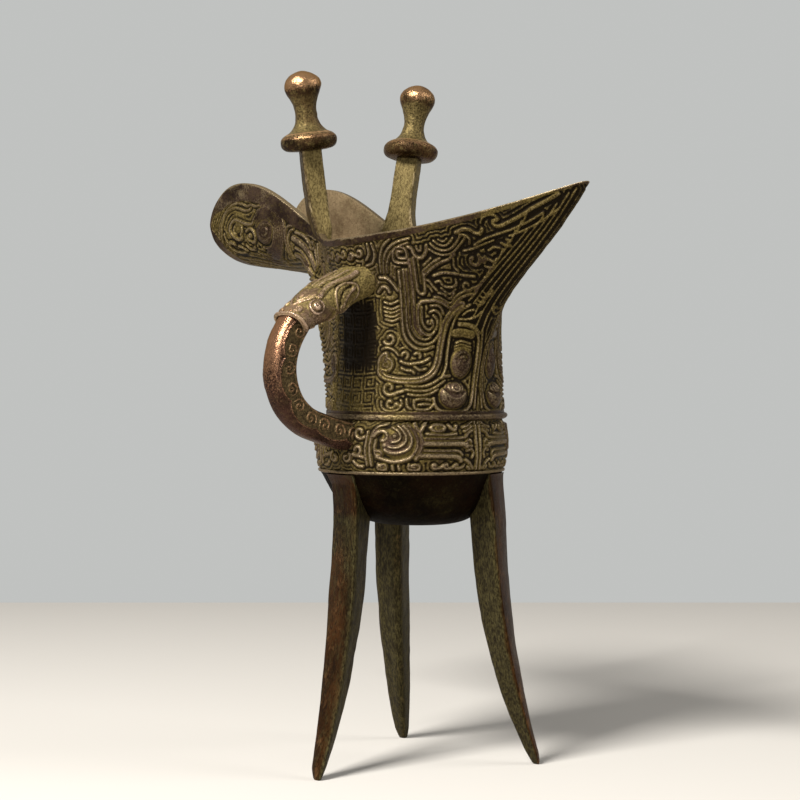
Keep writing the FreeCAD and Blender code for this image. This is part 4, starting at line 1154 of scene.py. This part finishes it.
# Three blade legs, flat outside and ridged inside. Each has the angle of its top, the angle of its foot and
# how far the foot kicks out.
legs = dict(
    width=10.8, footWidth=3.6, proud=0.1, ridgeDepth=9.6, footDepth=2.9, splayPower=2.15, taperPower=2.6,
    ridgePower=3.6, root=3.4, rootHeight=20.0, edge=1.5, sideRound=2.0, ridgeRound=1.9, sidePlace=0.9,
    sideDepth=0.16, bulge=0.35, bulgeFrom=(-0.8, 0), sections=170, topGap=0.3, flare=0.8, flareHeight=5.0,
    tipHeight=3.0, tipShare=0.55, follow=0.6, followFrom=(68, 79),
    joinHeight=66, joinGap=0.5, joinFrom=(68, 76), skirt=1.1, skirtDepth=(-2.5, -0.6), skirtFrom=(70, 76),
    lumps=0.22, grains=0.07, lumpsLow=(0, 3), lumpsHigh=(80, 76),
    sideTone=0.32, faceTone=0.63, faceFrom=(0.05, 0.55), edgeWear=0.9, ridgeWear=0.25, wearFrom=(74, 66),
    leg_handle_side=(-96.0, -87.0, 14.1), leg_tail_side=(25.0, 38.0, 10.1),
    leg_spout_side=(154.5, 143.5, 9.3))


def makeLeg(name, seed):
    topAngle, footAngle, kick = legs[name]
    top = np.array([math.cos(math.radians(topAngle)), math.sin(math.radians(topAngle))])
    foot = np.array([math.cos(math.radians(footAngle)), math.sin(math.radians(footAngle))])
    aside = np.array([bowl["asideX"], bowl["asideY"]])
    rings = []
    for z in np.linspace(0, 1, legs["sections"]) * (cup["legHeight"] - legs["topGap"]):
        below = cup["legHeight"] - z
        fall = below / cup["legHeight"]
        bend = fall ** legs["splayPower"]
        topReach = cup["radius"] + legs["proud"]
        topReach += legs["follow"] * float(top @ aside) * float(smoothStep(*legs["followFrom"], z))
        face = top * topReach * (1 - bend) + foot * (topReach + kick) * bend
        width = legs["width"] + (legs["footWidth"] - legs["width"]) * fall ** legs["taperPower"]
        width += legs["flare"] * max(1 - below / legs["flareHeight"], 0) ** 2
        depth = legs["ridgeDepth"] + (legs["footDepth"] - legs["ridgeDepth"]) * fall ** legs["ridgePower"]
        depth += legs["root"] * max(1 - below / legs["rootHeight"], 0) ** 2
        tip = legs["tipShare"] + (1 - legs["tipShare"]) * math.sqrt(min(1, z / legs["tipHeight"]))
        out = unit(top * (1 - fall) + foot * fall)
        side = np.array([-out[1], out[0]])
        half, sideX, sideY = width / 2, width / 2 * legs["sidePlace"], -legs["sideDepth"] * depth
        outline = roundedOutline(
            [[half, 0], [sideX, sideY], [0, -depth], [-sideX, sideY], [-half, 0]],
            [legs["edge"], legs["sideRound"], legs["ridgeRound"], legs["sideRound"], legs["edge"]], 8, 9)
        # the outer face swells a little
        share = np.clip(1 - (outline[:, 0] / half) ** 2, 0, 1)
        outline[:, 1] += legs["bulge"] * share * smoothStep(*legs["bulgeFrom"], outline[:, 1])
        outline = outline * tip + [0, -0.5 * depth * (1 - tip)]
        flat = face + outline[:, :1] * side + outline[:, 1:] * out
        reach = np.linalg.norm(flat, axis=1)
        if z > legs["joinHeight"]:
            # over the join the leg keeps outside the round bottom
            shifted = flat @ aside / reach + bowl["widen"]
            least = domeReach(z) - legs["joinGap"] + shifted * smoothStep(*legs["joinFrom"], z)
            skirt = legs["skirt"] * smoothStep(*legs["skirtDepth"], outline[:, 1])
            least = least + skirt * float(smoothStep(*legs["skirtFrom"], z))
            flat = flat * (np.maximum(reach, least) / reach)[:, None]
        rings.append(np.column_stack([flat, np.full(len(flat), z)]))
    rings = np.array(rings)
    height = rings[..., 2]
    noise = legs["lumps"] * valueNoise(rings, 8.0, seed) + legs["grains"] * valueNoise(rings, 2.2, seed + 1)
    noise *= smoothStep(*legs["lumpsLow"], height) * smoothStep(*legs["lumpsHigh"], height)
    centre = rings.mean(axis=1, keepdims=True)
    rings = rings + unit(rings - centre) * noise[..., None]
    # outer face brown, the two inner faces green
    outward = (rings - centre)[..., 0] * top[0] + (rings - centre)[..., 1] * top[1]
    outward = outward / np.abs(outward).max(axis=1, keepdims=True)
    relief = legs["sideTone"] + legs["faceTone"] * smoothStep(*legs["faceFrom"], outward)
    edge = smoothStep(0.3, 0.6, outward) * smoothStep(1.0, 0.85, outward)
    ridge = smoothStep(-0.7, -1.0, outward)
    spots = 0.5 + valueNoise(rings, 2.4, seed + 2)
    wear = np.clip(legs["edgeWear"] * edge * spots + legs["ridgeWear"] * ridge * spots, 0, 1)
    wear *= smoothStep(*legs["wearFrom"], height)
    points, faces = tube(rings)
    makeObject(name + "_blade", points, faces, [legBronze], name, "leg_bronze", 60, relief=relief, wear=wear)


for seed, name in enumerate(("leg_handle_side", "leg_tail_side", "leg_spout_side")):
    makeLeg(name, 40 + 5 * seed)
print("legs made")


# The handle's loop is a swept bar whose inner half carries a row of scrolls. Its sizes are the inputs of the
# geometry nodes that make it: lengths in mm, and dirt, light, wear and rubbing as shares; the rubbing on the
# outer face towards the head is rubbed copper brightened into a painted highlight.
loop = dict(
    rootShare=0.56, thinFrom=(23.0, 47.0), steps=520, around=132,
    sizes=dict(thickness=7.8, width=7.2, squareness=3.0, scrollPitch=5.3, scrollReach=1.95, scrollGap=1.3,
               scrollRise=0.5, scrollPlace=0.5, borderPlace=-2.45, borderSwing=1.3, borderWidth=0.34,
               edgePlace=3.0, sideStart=1.7, sideEnd=2.4, groundDepth=0.28, groundDirt=0.72, carvedLight=0.32,
               carvedWear=0.55, rubHighlightStart=24.0, rubHighlightEnd=42.0, rubHighlightLeast=0.08, rubHighlightMost=0.85))


def loopPath():
    # middle line of the bar in the plane of the handle, wall end first
    line = flowing([(23.4, 89.6), (29.4, 90.9), (34.9, 92.4), (40.4, 94.4), (45.2, 98.2), (47.7, 102.8),
                    (48.6, 107.8), (47.9, 112.4), (46.2, 116.4), (43.7, 120.1), (42.9, 121.2)])
    for _ in range(12):
        line[1:-1] = (line[:-2] + 2 * line[1:-1] + line[2:]) / 4
    return [(0, -out, z) for out, z in line]


def loopCurve():
    curve = bpy.data.curves.new("loopPath", "CURVE")
    curve.dimensions = "3D"
    points = inRow(loopPath())
    spline = curve.splines.new("POLY")
    spline.points.add(len(points) - 1)
    for point, place in zip(spline.points, points):
        out = (axis[1] - place[1]) * 1000
        point.co = (*place, 1)
        point.radius = loop["rootShare"] + (1 - loop["rootShare"]) * float(smoothStep(*loop["thinFrom"], out))
    path = bpy.data.objects.new("loopPath", curve)
    bpy.context.scene.collection.objects.link(path)
    return path


def makeLoop():
    tree = bpy.data.node_groups.new("carvedLoop", "GeometryNodeTree")
    tree.interface.new_socket("Geometry", in_out="INPUT", socket_type="NodeSocketGeometry")
    tree.interface.new_socket("Geometry", in_out="OUTPUT", socket_type="NodeSocketGeometry")
    sockets = {key: tree.interface.new_socket(key, in_out="INPUT", socket_type="NodeSocketFloat")
               for key in loop["sizes"]}
    bench = Bench(tree, "SMOOTHSTEP")
    node, maths, plus, minus, times, mapped = (bench.node, bench.maths, bench.plus, bench.minus, bench.times,
                                               bench.mapped)
    given = node("NodeGroupInput").outputs

    def magnitude(value):
        return maths("ABSOLUTE", value)

    def stored(geometry, name, value):
        return node("GeometryNodeStoreNamedAttribute", data_type="FLOAT", domain="POINT", Geometry=geometry,
                    Name=name, Value=value).outputs["Geometry"]

    def read(name):
        return node("GeometryNodeInputNamedAttribute", data_type="FLOAT", Name=name).outputs["Attribute"]

    # the path, measured in mm along itself
    evenPath = node("GeometryNodeResampleCurve", Count=loop["steps"], Curve=given["Geometry"])
    length = node("GeometryNodeSplineParameter").outputs["Length"]
    along = stored(evenPath.outputs["Curve"], "along", times(length, 1000.0))
    # the section, a softened rectangle
    circle = node("GeometryNodeCurvePrimitiveCircle", Resolution=loop["around"], Radius=1.0)
    place = node("ShaderNodeSeparateXYZ", Vector=node("GeometryNodeInputPosition").outputs[0]).outputs
    power = maths("DIVIDE", 2.0, given["squareness"])

    def squared(value, wholeSize):
        # half the size in metres, with the value's own sign
        shaped = times(maths("POWER", magnitude(value), power), maths("SIGN", value))
        return times(shaped, times(wholeSize, 0.0005))

    corner = node("ShaderNodeCombineXYZ", X=squared(place["X"], given["width"]),
                  Y=squared(place["Y"], given["thickness"]))
    shape = node("GeometryNodeSetPosition", Geometry=circle.outputs["Curve"], Position=corner.outputs[0])
    section = stored(shape.outputs["Geometry"], "across", times(place["Y"], -1000.0))
    section = stored(section, "sideways", times(place["X"], 1000.0))
    sweep = node("GeometryNodeCurveToMesh", **{"Curve": along, "Profile Curve": section, "Fill Caps": True})

    # scrolls: every pitch a spiral about its own eye, turning the other way each time
    turns = maths("DIVIDE", read("along"), given["scrollPitch"])
    odd = minus(times(maths("MODULO", maths("FLOOR", turns), 2.0), 2.0), 1.0)
    u = times(times(minus(maths("FRACT", turns), 0.5), given["scrollPitch"]), odd)
    v = minus(read("across"), given["scrollPlace"])
    radius = maths("SQRT", plus(times(u, u), times(v, v)))
    turn = maths("DIVIDE", maths("ARCTAN2", v, u), 2 * math.pi)
    wave = maths("COSINE", times(minus(maths("DIVIDE", radius, given["scrollGap"]), turn), 2 * math.pi))
    spiral = times(mapped(wave, -0.1, 0.75), mapped(minus(radius, given["scrollReach"]), 0.2, -0.1))
    # the border swings out round each pair of scrolls
    swing = maths("POWER", magnitude(maths("COSINE", times(turns, math.pi / 2))), 0.6)
    bow = plus(given["borderPlace"], times(minus(1.0, swing), given["borderSwing"]))
    border = mapped(magnitude(minus(read("across"), bow)), given["borderWidth"], 0.05)
    edge = mapped(magnitude(minus(read("across"), given["edgePlace"])), given["borderWidth"], 0.05)
    onSide = mapped(magnitude(read("sideways")), given["sideStart"], given["sideEnd"])
    onSide = times(mapped(read("along"), 1.0, 3.0), onSide)
    carved = times(maths("MAXIMUM", spiral, maths("MAXIMUM", border, edge)), onSide)
    ground = times(mapped(minus(read("across"), bow), -0.1, 0.3), onSide)
    height = minus(times(carved, given["scrollRise"]), times(ground, given["groundDepth"]))
    normal = node("GeometryNodeInputNormal").outputs[0]
    offset = node("ShaderNodeVectorMath", operation="SCALE", Vector=normal, Scale=times(height, 0.001))
    raised = node("GeometryNodeSetPosition", Geometry=sweep.outputs["Mesh"], Offset=offset.outputs[0])
    smoothed = node("GeometryNodeSetShadeSmooth", Geometry=raised.outputs["Geometry"])
    # dirt in the ground, metal on the scrolls, and on the outer face towards the head rubbed copper
    # brightened into a painted highlight
    hollow = times(ground, minus(given["groundDirt"], times(carved, given["carvedLight"])))
    dressed = stored(smoothed.outputs["Geometry"], "relief", minus(1.0, hollow))
    # painted highlight: rubbed copper that grows along the outer face towards the head
    rubbing = mapped(read("along"), given["rubHighlightStart"], given["rubHighlightEnd"], given["rubHighlightLeast"], given["rubHighlightMost"])
    rubbed = times(mapped(read("across"), -1.2, -3.5), rubbing)
    dressed = stored(dressed, "wear", maths("MAXIMUM", times(carved, given["carvedWear"]), rubbed))
    real = node("GeometryNodeRealizeInstances", Geometry=dressed)
    painted = node("GeometryNodeSetMaterial", Material=wornHighlightBronze, Geometry=real.outputs["Geometry"])
    node("NodeGroupOutput", Geometry=painted.outputs["Geometry"])

    path = loopCurve()
    modifier = path.modifiers.new("carvedLoop", "NODES")
    modifier.node_group = tree
    for key, socket in sockets.items():
        modifier[socket.identifier] = float(loop["sizes"][key])
    bpy.context.view_layer.update()
    mesh = bpy.data.meshes.new_from_object(path.evaluated_get(bpy.context.evaluated_depsgraph_get()))
    thing = bpy.data.objects.new("handle_loop_bar", mesh)
    bpy.context.scene.collection.objects.link(thing)
    bpy.data.objects.remove(path)
    finishPiece(thing, "handle_loop", 70)


makeLoop()
print("handle loop made")


# the beast's head: a body lofted along its own middle line, with the features pressed out of it
head = dict(
    along=200, around=330, panel=(-1.0, 27.0, -1.0, 26.0, 0.06), lipRise=0.5, squareness=2.7,
    crestReach=9, crestGain=2.6, hollowReach=6, hollowGain=2.2,
    lumps=0.16, grains=0.05, tone=0.68, reliefTone=0.35, hollowTone=0.75, backTone=0.25, backFrom=(8.0, 12.0),
    cheekTone=0.3, cheekDown=(3, 8), cheekBack=(9, 6), muzzleWear=0.5, muzzleBack=(9, 2),
    mouthTone=0.6, mouthWear=0.6, mouthRings=3,
    # how far each ring of the mouth lies in towards the middle, and how deep behind the lip
    mouth=((0.04, -0.22), (0.11, -0.28), (0.17, -0.12), (0.2, 0.3), (0.2, 1.6), (0.6, 1.8)),
    # out, height, tilt, half width, half height; from inside the wall to the lip
    stations=((19.5, 132.0, 18, 8.4, 5.2), (23.2, 130.9, 19, 7.7, 4.5), (28.0, 128.8, 24, 6.7, 4.25),
              (33.0, 126.4, 28, 6.6, 4.5), (37.0, 124.0, 32, 6.3, 4.05), (40.5, 122.2, 38, 5.7, 3.75),
              (42.9, 121.0, 43, 5.1, 3.5), (45.1, 119.9, 47, 5.0, 3.35)))


def drawHead(panel):
    # s runs back from the lip, t down from the middle of the forehead; both halves alike
    thread = panel.thread
    # lip, nostril, eye
    thread([(0.45, 0), (0.5, 6), (0.6, 11.6), (0.5, 14)], 1.5, head["lipRise"] / 0.6)
    panel.carveLine([(1.35, 0), (1.4, 6), (1.5, 12)], 0.9, 0.3)
    panel.boss((2.6, 3.0), 1.5, 1.5, 0.75)
    panel.carveLine(curl((2.6, 3.0), 0.2, 0.95, 0, 420), 0.75, 0.4)
    thread(curl((6.2, 6.3), 1.75, 1.75, 0, 360), 1.15, 1.1)
    panel.boss((6.2, 6.3), 1.35, 1.35, 1.35)
    panel.carveLine(curl((6.3, 6.2), 0.1, 0.6, 90, 300), 0.6, 0.35)
    # brows and bridge of the nose
    thread([(3.6, 0), (4.6, 1.1), (6.2, 2.6), (8.2, 3.9), (10.2, 4.6)], 1.7, 1.0)
    thread([(5.6, 0), (7.0, 1.2), (9.2, 2.4), (11.4, 2.8)], 1.3, 0.9)
    panel.carveLine([(4.4, 0), (5.8, 1.8), (7.8, 3.2), (10.4, 3.8)], 1.0, 0.4)
    # horns laid back along the head
    thread([(8.8, 4.9), (11, 4.4), (14.5, 4.5), (18.5, 5.2), (22, 5.4)], 2.5, 1.15)
    panel.carveLine([(9.6, 3.4), (13, 3.2), (17.5, 3.9), (21, 4.2)], 1.3, 0.45)
    panel.carveLine([(9.4, 6.2), (12.2, 5.8), (15.4, 6.0)], 1.5, 0.5)
    thread([(10, 1.6), (14, 1.5), (19, 2.2), (22, 2.3)], 1.5, 0.85)
    thread([(12, 0), (17, 0), (22, 0)], 1.2, 0.7)
    # ears
    panel.boss((15.3, 9.4), 4.4, 3.1, 0.55, -12)
    thread([(11.6, 9.0), (12.6, 7.3), (14.6, 6.3), (17.2, 6.4), (19.2, 7.4), (19.9, 9.0), (18.8, 10.4),
            (16.4, 11.4), (14.2, 12.7), (12.4, 12.6), (11.2, 11.2), (11.6, 9.0)], 1.25, 0.9)
    thread([(18.6, 8.4), (16.8, 9.0), (14.8, 10.0), (13.2, 11.2)], 1.9, 1.2)
    panel.carveLine([(18, 7.5), (15.4, 7.9), (13.2, 9.2), (12.4, 10.6)], 1.4, 0.5)
    thread(curl((12.7, 11.5), 0.3, 0.9, 0, 330), 0.9, 1.1)
    # brow and nose stand up over the outline
    panel.boss((9.6, 1.8), 2.6, 2.6, 0.85)
    panel.boss((2.9, 0.0), 1.7, 2.2, 0.5)
    # cheek and corner of the mouth
    panel.boss((7.4, 9.6), 3.0, 1.9, 0.4)
    thread([(9.8, 9.4), (10.7, 10.8), (10.4, 12.6), (9.2, 13.8)], 0.9, 0.7)
    thread([(0.6, 11.6), (2.6, 12.9), (4.2, 13.0)], 1.2, 0.7)


def makeHead():
    stations = np.array(head["stations"])
    run = np.append(0, np.cumsum(np.hypot(*np.diff(stations[:, :2], axis=0).T)))
    even = np.linspace(0, run[-1], head["along"])
    out, height, tilt, wide, tall = curved(np.column_stack([run, stations]), even).T
    tilt = np.radians(tilt)
    angle = np.linspace(0, 2 * np.pi, head["around"], endpoint=False)
    power = 2 / head["squareness"]
    up = tall[:, None] * np.sign(np.cos(angle)) * np.abs(np.cos(angle)) ** power
    x = wide[:, None] * np.sign(np.sin(angle)) * np.abs(np.sin(angle)) ** power
    y = -(out[:, None] + np.sin(tilt)[:, None] * up)
    z = height[:, None] + np.cos(tilt)[:, None] * up
    body = np.stack([x, y, z], -1)
    # distance round the section from the top, the same on both sides, and back from the lip
    half = head["around"] // 2
    steps = np.linalg.norm(np.diff(body[:, :half + 1], axis=1), axis=-1)
    down = np.hstack([np.zeros((len(body), 1)), np.cumsum(steps, axis=1)])
    down = np.hstack([down, down[:, 1:half][:, ::-1]])
    back = (run[-1] - even)[:, None] + 0 * down
    panel = Panel(*head["panel"])
    drawHead(panel)
    rise = blurred(panel.rise, 1)
    hollow = np.clip((blurred(rise, head["hollowReach"]) - rise) * head["hollowGain"], 0, 1)
    edge = panel.sample(crests(rise, head["crestReach"], head["crestGain"]), back, down)
    # pressed out along the outward direction of the plain body
    normal = unit(np.cross(np.roll(body, -1, 1) - np.roll(body, 1, 1), np.gradient(body, axis=0)))
    middle = np.stack([0 * out, -out, height], -1)[:, None, :]
    if ((body - middle) * normal).sum() < 0:
        normal = -normal
    push = panel.sample(rise, back, down)
    push = push + head["lumps"] * valueNoise(body, 2.4, 61) + head["grains"] * valueNoise(body, 0.9, 62)
    body = body + normal * push[..., None]
    # the mouth: the lip turns in and the palate sinks round the bar
    inward = middle[-1] - body[-1]
    deep = np.array([0, math.cos(tilt[-1]), math.sin(tilt[-1])])
    mouth = [body[-1] + inward * share + deep * sink for share, sink in head["mouth"]]
    points, faces = tube(np.concatenate([body, mouth]))
    relief = head["tone"] + head["reliefTone"] * push - head["hollowTone"] * panel.sample(hollow, back, down)
    relief = relief - head["backTone"] * smoothStep(*head["backFrom"], back)
    cheek = smoothStep(*head["cheekDown"], down)
    relief = np.clip(relief + head["cheekTone"] * cheek * smoothStep(*head["cheekBack"], back), 0, 1)
    wear = np.clip(edge + head["muzzleWear"] * smoothStep(*head["muzzleBack"], back) * cheek, 0, 1)
    inMouth = (np.arange(len(mouth)) < head["mouthRings"])[:, None] * np.ones(head["around"])
    makeObject("beast_head", points, faces, [headBronze], "handle_head", "worn_bronze", 75,
               relief=np.vstack([relief, head["mouthTone"] * inMouth]),
               wear=np.vstack([wear, head["mouthWear"] * inMouth]))


makeHead()
print("head made")


# The posts and their caps are shaped upright over the seat and then leaned. Rows of the shaft are the height,
# what is left of the foot's extra width, the depth and the inner face, as shares of the whole.
posts = dict(
    height=21.2, width=6.6, depth=5.8, edge=1.0, lean=8.6, turn=30.0, footWidth=12.0, footLength=10.0,
    toeDepth=1.4, footDepth=2.8, toeSink=0.2, footSink=0.7, levels=120, seatSetBack=0.4,
    askew=(0.6, 0.65, 0.0), askewFrom=(0, 42),
    shaft=((0.0, 0.7, 0.86, 1.0), (0.12, 0.38, 0.9, 1.0), (0.25, 0.14, 0.95, 1.0), (0.45, 0.0, 0.98, 1.0)),
    lumps=0.13, grains=0.05, tone=0.45, faceTone=0.5, faceFrom=(0.6, 0.97), blotch=0.12,
    edgeWear=0.75, edgeAcross=(0.72, 0.92), edgeOut=(0.7, 0.92))
caps = dict(
    around=150, facets=8, facetDepth=0.018, facetsLow=(4.7, 6.5), facetsHigh=(15.5, 12),
    lumps=0.16, grains=0.07,
    knobWear=0.95, knobWearFrom=(15.6, 18.6), rimWear=0.6, rimHeight=4.1, ledgeWear=0.9, ledgeHeight=4.95,
    tone=0.5, knobTone=0.45, knobToneFrom=(14.5, 17.5), collarTone=0.45, collarToneFrom=(4.9, 4.0))
postX = -(cup["radius"] - posts["seatSetBack"] * cup["wall"])
postSeat = np.array([postX, -(cup["spoutHalfWidth"] - cup["wall"] / 2), float(rimHeight(postX))])


def leaned(points, far):
    # skin over upright rings, leaned and set on its seat; the far one is mirrored and stands a little askew
    lean = math.radians(posts["lean"])
    x, y, z = np.moveaxis(np.asarray(points, float), -1, 0)
    tipped = np.stack([x, y * math.cos(lean) - z * math.sin(lean),
                       y * math.sin(lean) + z * math.cos(lean)], -1) + postSeat
    if not far:
        return tube(tipped)
    askew = np.array(posts["askew"]) * smoothStep(*posts["askewFrom"], z)[..., None]
    flat, faces = tube(tipped * np.array([1, -1, 1]) + askew)
    return flat, turnedOver(faces)


def postTable():
    # height, width, depth and inner face
    tall, width, depth = posts["height"], posts["width"], posts["depth"]
    spread, length = posts["footWidth"] - width, posts["footLength"]
    toe, foot = posts["toeDepth"], posts["footDepth"]
    table = [(-length, width + spread, toe, -posts["footSink"] * toe - posts["toeSink"] * cup["wall"]),
             (-0.5 * length, width + 0.9 * spread, foot, -posts["footSink"] * foot)]
    for share, wider, deep, face in posts["shaft"]:
        table.append((share * tall, width + wider * spread, deep * depth, -face * depth / 2))
    table.append((0.8 * tall, 0.97 * width, 0.98 * depth, -0.98 * depth / 2))
    table.append((tall + 0.5, 0.94 * width, 0.96 * depth, -0.96 * depth / 2))
    return table


def makePost(name, cadNode, far, seed):
    turn = math.radians(posts["turn"])
    side = np.array([math.cos(turn), -math.sin(turn), 0])
    out = np.array([-math.sin(turn), -math.cos(turn), 0])
    table = postTable()
    heights = np.linspace(table[0][0], table[-1][0], posts["levels"])
    rings = []
    for z, (wide, deep, face) in zip(heights, curved(table, heights)):
        x, y = wide / 2, deep / 2
        outline = roundedOutline([[x, -y], [x, y], [-x, y], [-x, -y]], min(posts["edge"], 0.42 * deep), 8, 14)
        centre = np.array([0, 0, z]) + out * (face + y)
        rings.append(centre + outline[:, :1] * side + outline[:, 1:] * out)
    rings = np.array(rings)
    middle = rings.mean(axis=1, keepdims=True)
    rough = posts["lumps"] * valueNoise(rings + seed, 6.0, seed)
    rough = rough + posts["grains"] * valueNoise(rings + seed, 1.2, seed + 1)
    rings = rings + unit(rings - middle) * rough[..., None]
    # the narrow outer face is brown, the broad ones dusty, the edges rubbed
    across, outward = (rings - middle) @ side, (rings - middle) @ out
    across = across / np.abs(across).max(axis=1, keepdims=True)
    outward = outward / np.abs(outward).max(axis=1, keepdims=True)
    relief = posts["tone"] + posts["faceTone"] * smoothStep(*posts["faceFrom"], outward)
    relief = relief + posts["blotch"] * valueNoise(rings, 4.0, seed + 2)
    edge = smoothStep(*posts["edgeAcross"], np.abs(across)) * smoothStep(*posts["edgeOut"], np.abs(outward))
    wear = posts["edgeWear"] * edge * (0.7 + 0.6 * valueNoise(rings, 2.0, seed + 3))
    points, faces = leaned(rings, far)
    makeObject(name, points, faces, [postBronze], cadNode, "post_bronze", 70, relief=relief, wear=wear)


def makeCap(name, cadNode, far, seed):
    # height over the underside, radius: collar up to its ledge, then neck and knob
    collar = flowing([(0.05, 3.4), (0.2, 5.0), (0.5, 6.4), (1.1, 7.25), (1.9, 7.7), (2.9, 7.8), (3.7, 7.6),
                      (4.4, 7.05), (4.85, 6.4), (4.97, 6.1)], 0.16)
    neck = flowing([(5.08, 5.95), (5.5, 5.05), (6.3, 4.2), (7.4, 3.5), (8.9, 3.08), (10.6, 3.0), (12.4, 3.2),
                    (14.4, 3.85), (16.0, 4.6), (17.7, 5.12), (19.1, 4.95), (20.3, 4.15), (21.3, 2.8),
                    (21.9, 1.3), (22.1, 0.3)], 0.16)
    profile = np.vstack([[0.0, 1.5], collar, neck])
    angle = np.linspace(0, 2 * np.pi, caps["around"], endpoint=False)
    z = np.repeat(profile[:, :1], len(angle), 1)
    reach = np.repeat(profile[:, 1:], len(angle), 1)
    # the neck is faintly eight-sided
    faceting = smoothStep(*caps["facetsLow"], z) * smoothStep(*caps["facetsHigh"], z)
    reach = reach * (1 + caps["facetDepth"] * np.cos(caps["facets"] * angle) * faceting)
    points = np.stack([reach * np.cos(angle), reach * np.sin(angle), z], -1)
    rough = caps["lumps"] * valueNoise(points + 3 * seed, 3.2, seed)
    rough = rough + caps["grains"] * valueNoise(points, 1.0, seed + 1)
    rough = rough * smoothStep(0.0, 2.0, reach)
    outward = np.stack([np.cos(angle) + 0 * z, np.sin(angle) + 0 * z, 0 * z], -1)
    points = points + outward * rough[..., None] + np.array([0, 0, posts["height"]])
    blotch = 0.75 + 0.6 * valueNoise(points, 3.0, seed + 4)
    wear = smoothStep(*caps["knobWearFrom"], z) * caps["knobWear"] * blotch
    wear = np.maximum(wear, smoothStep(1.0, 0.2, np.abs(z - caps["rimHeight"])) * caps["rimWear"])
    wear = np.maximum(wear, smoothStep(0.3, 0.05, np.abs(z - caps["ledgeHeight"])) * caps["ledgeWear"])
    relief = caps["tone"] + caps["knobTone"] * smoothStep(*caps["knobToneFrom"], z)
    relief = relief + caps["collarTone"] * smoothStep(*caps["collarToneFrom"], z)
    points, faces = leaned(points, far)
    makeObject(name, points, faces, [capBronze], cadNode, "worn_bronze", 55, relief=relief, wear=wear)


makePost("post_shaft_handle_side", "post_handle_side", False, 71)
makePost("post_shaft_far_side", "post_far_side", True, 75)
makeCap("cap_knob_handle_side", "cap_handle_side", False, 81)
makeCap("cap_knob_far_side", "cap_far_side", True, 85)
print("posts and caps made")


# floor, light and camera; the camera was fitted to the photo
viewer = dict(azimuth=47.31, distance=542.3, aside=-4.53, height=109.07, pitch=1.02, lens=88.61)
stageLook = dict(
    tableReach=0.36, floorColour=(0.60, 0.56, 0.50), floorRoughness=0.9, backdrop=(0.53, 0.54, 0.53),
    worldColour=(0.95, 0.97, 1.0), worldStrength=0.17, lampAim=0.1,
    keyWatts=12.0, keyPlace=(0.06, -0.52, 0.68), keySize=0.22,
    sideWatts=1.4, sidePlace=(0.42, 0.35, 0.45), sideSize=0.3,
    lowWatts=0.9, lowPlace=(0.36, -0.48, 0.12), lowSize=0.2)


def makeFloor():
    bpy.ops.mesh.primitive_plane_add(size=2 * stageLook["tableReach"], location=(0, 0, 0))
    floor = bpy.context.object
    floor.name = "floor"
    floor.location = (axis[0], axis[1], 0)
    floor.rotation_euler = (0, 0, math.radians(viewer["azimuth"]))
    material = bpy.data.materials.new("floorPaper")
    material.use_nodes = True
    paper = material.node_tree.nodes["Principled BSDF"].inputs
    paper["Base Color"].default_value = (*stageLook["floorColour"], 1)
    paper["Roughness"].default_value = stageLook["floorRoughness"]
    floor.data.materials.append(material)


def makeWorld():
    # the world lights the piece softly; straight and mirrored looks at it see a plain backdrop
    world = bpy.data.worlds.new("studio")
    world.use_nodes = True
    bench = Bench(world.node_tree)
    light = bench.nodes["Background"]
    bench.put(light.inputs["Color"], (*stageLook["worldColour"], 1))
    bench.put(light.inputs["Strength"], stageLook["worldStrength"])
    backdrop = bench.node("ShaderNodeBackground", Color=(*stageLook["backdrop"], 1))
    rays = bench.node("ShaderNodeLightPath").outputs
    seen = bench.maths("MAXIMUM", rays["Is Camera Ray"], rays["Is Glossy Ray"])
    seen = bench.maths("MAXIMUM", seen, rays["Is Transmission Ray"])
    chosen = bench.node("ShaderNodeMixShader")
    for socket, value in zip(chosen.inputs, (seen, light.outputs[0], backdrop.outputs[0])):
        bench.put(socket, value)
    bench.put(bench.nodes["World Output"].inputs["Surface"], chosen.outputs[0])
    bpy.context.scene.world = world


def makeLamps():
    aim = Vector((axis[0], axis[1], stageLook["lampAim"]))
    for name in ("key", "side", "low"):
        lamp = bpy.data.lights.new(name, "AREA")
        lamp.energy = stageLook[name + "Watts"]
        lamp.size = stageLook[name + "Size"]
        thing = bpy.data.objects.new(name, lamp)
        thing.location = stageLook[name + "Place"]
        thing.rotation_euler = (aim - thing.location).to_track_quat("-Z", "Y").to_euler()
        bpy.context.scene.collection.objects.link(thing)


def makeCamera():
    camera = bpy.data.cameras.new("camera")
    camera.lens = viewer["lens"]
    camera.clip_start = 0.01
    thing = bpy.data.objects.new("camera", camera)
    turn = math.radians(viewer["azimuth"])
    far, aside = viewer["distance"], viewer["aside"]
    thing.location = inRow([far * math.sin(turn) + aside * math.cos(turn),
                            -far * math.cos(turn) + aside * math.sin(turn), viewer["height"]])
    thing.rotation_euler = (math.radians(90 - viewer["pitch"]), 0, turn)
    bpy.context.scene.collection.objects.link(thing)
    bpy.context.scene.camera = thing


makeFloor()
makeWorld()
makeLamps()
makeCamera()
bpy.context.scene.view_settings.view_transform = "Standard"
print("stage and camera set")
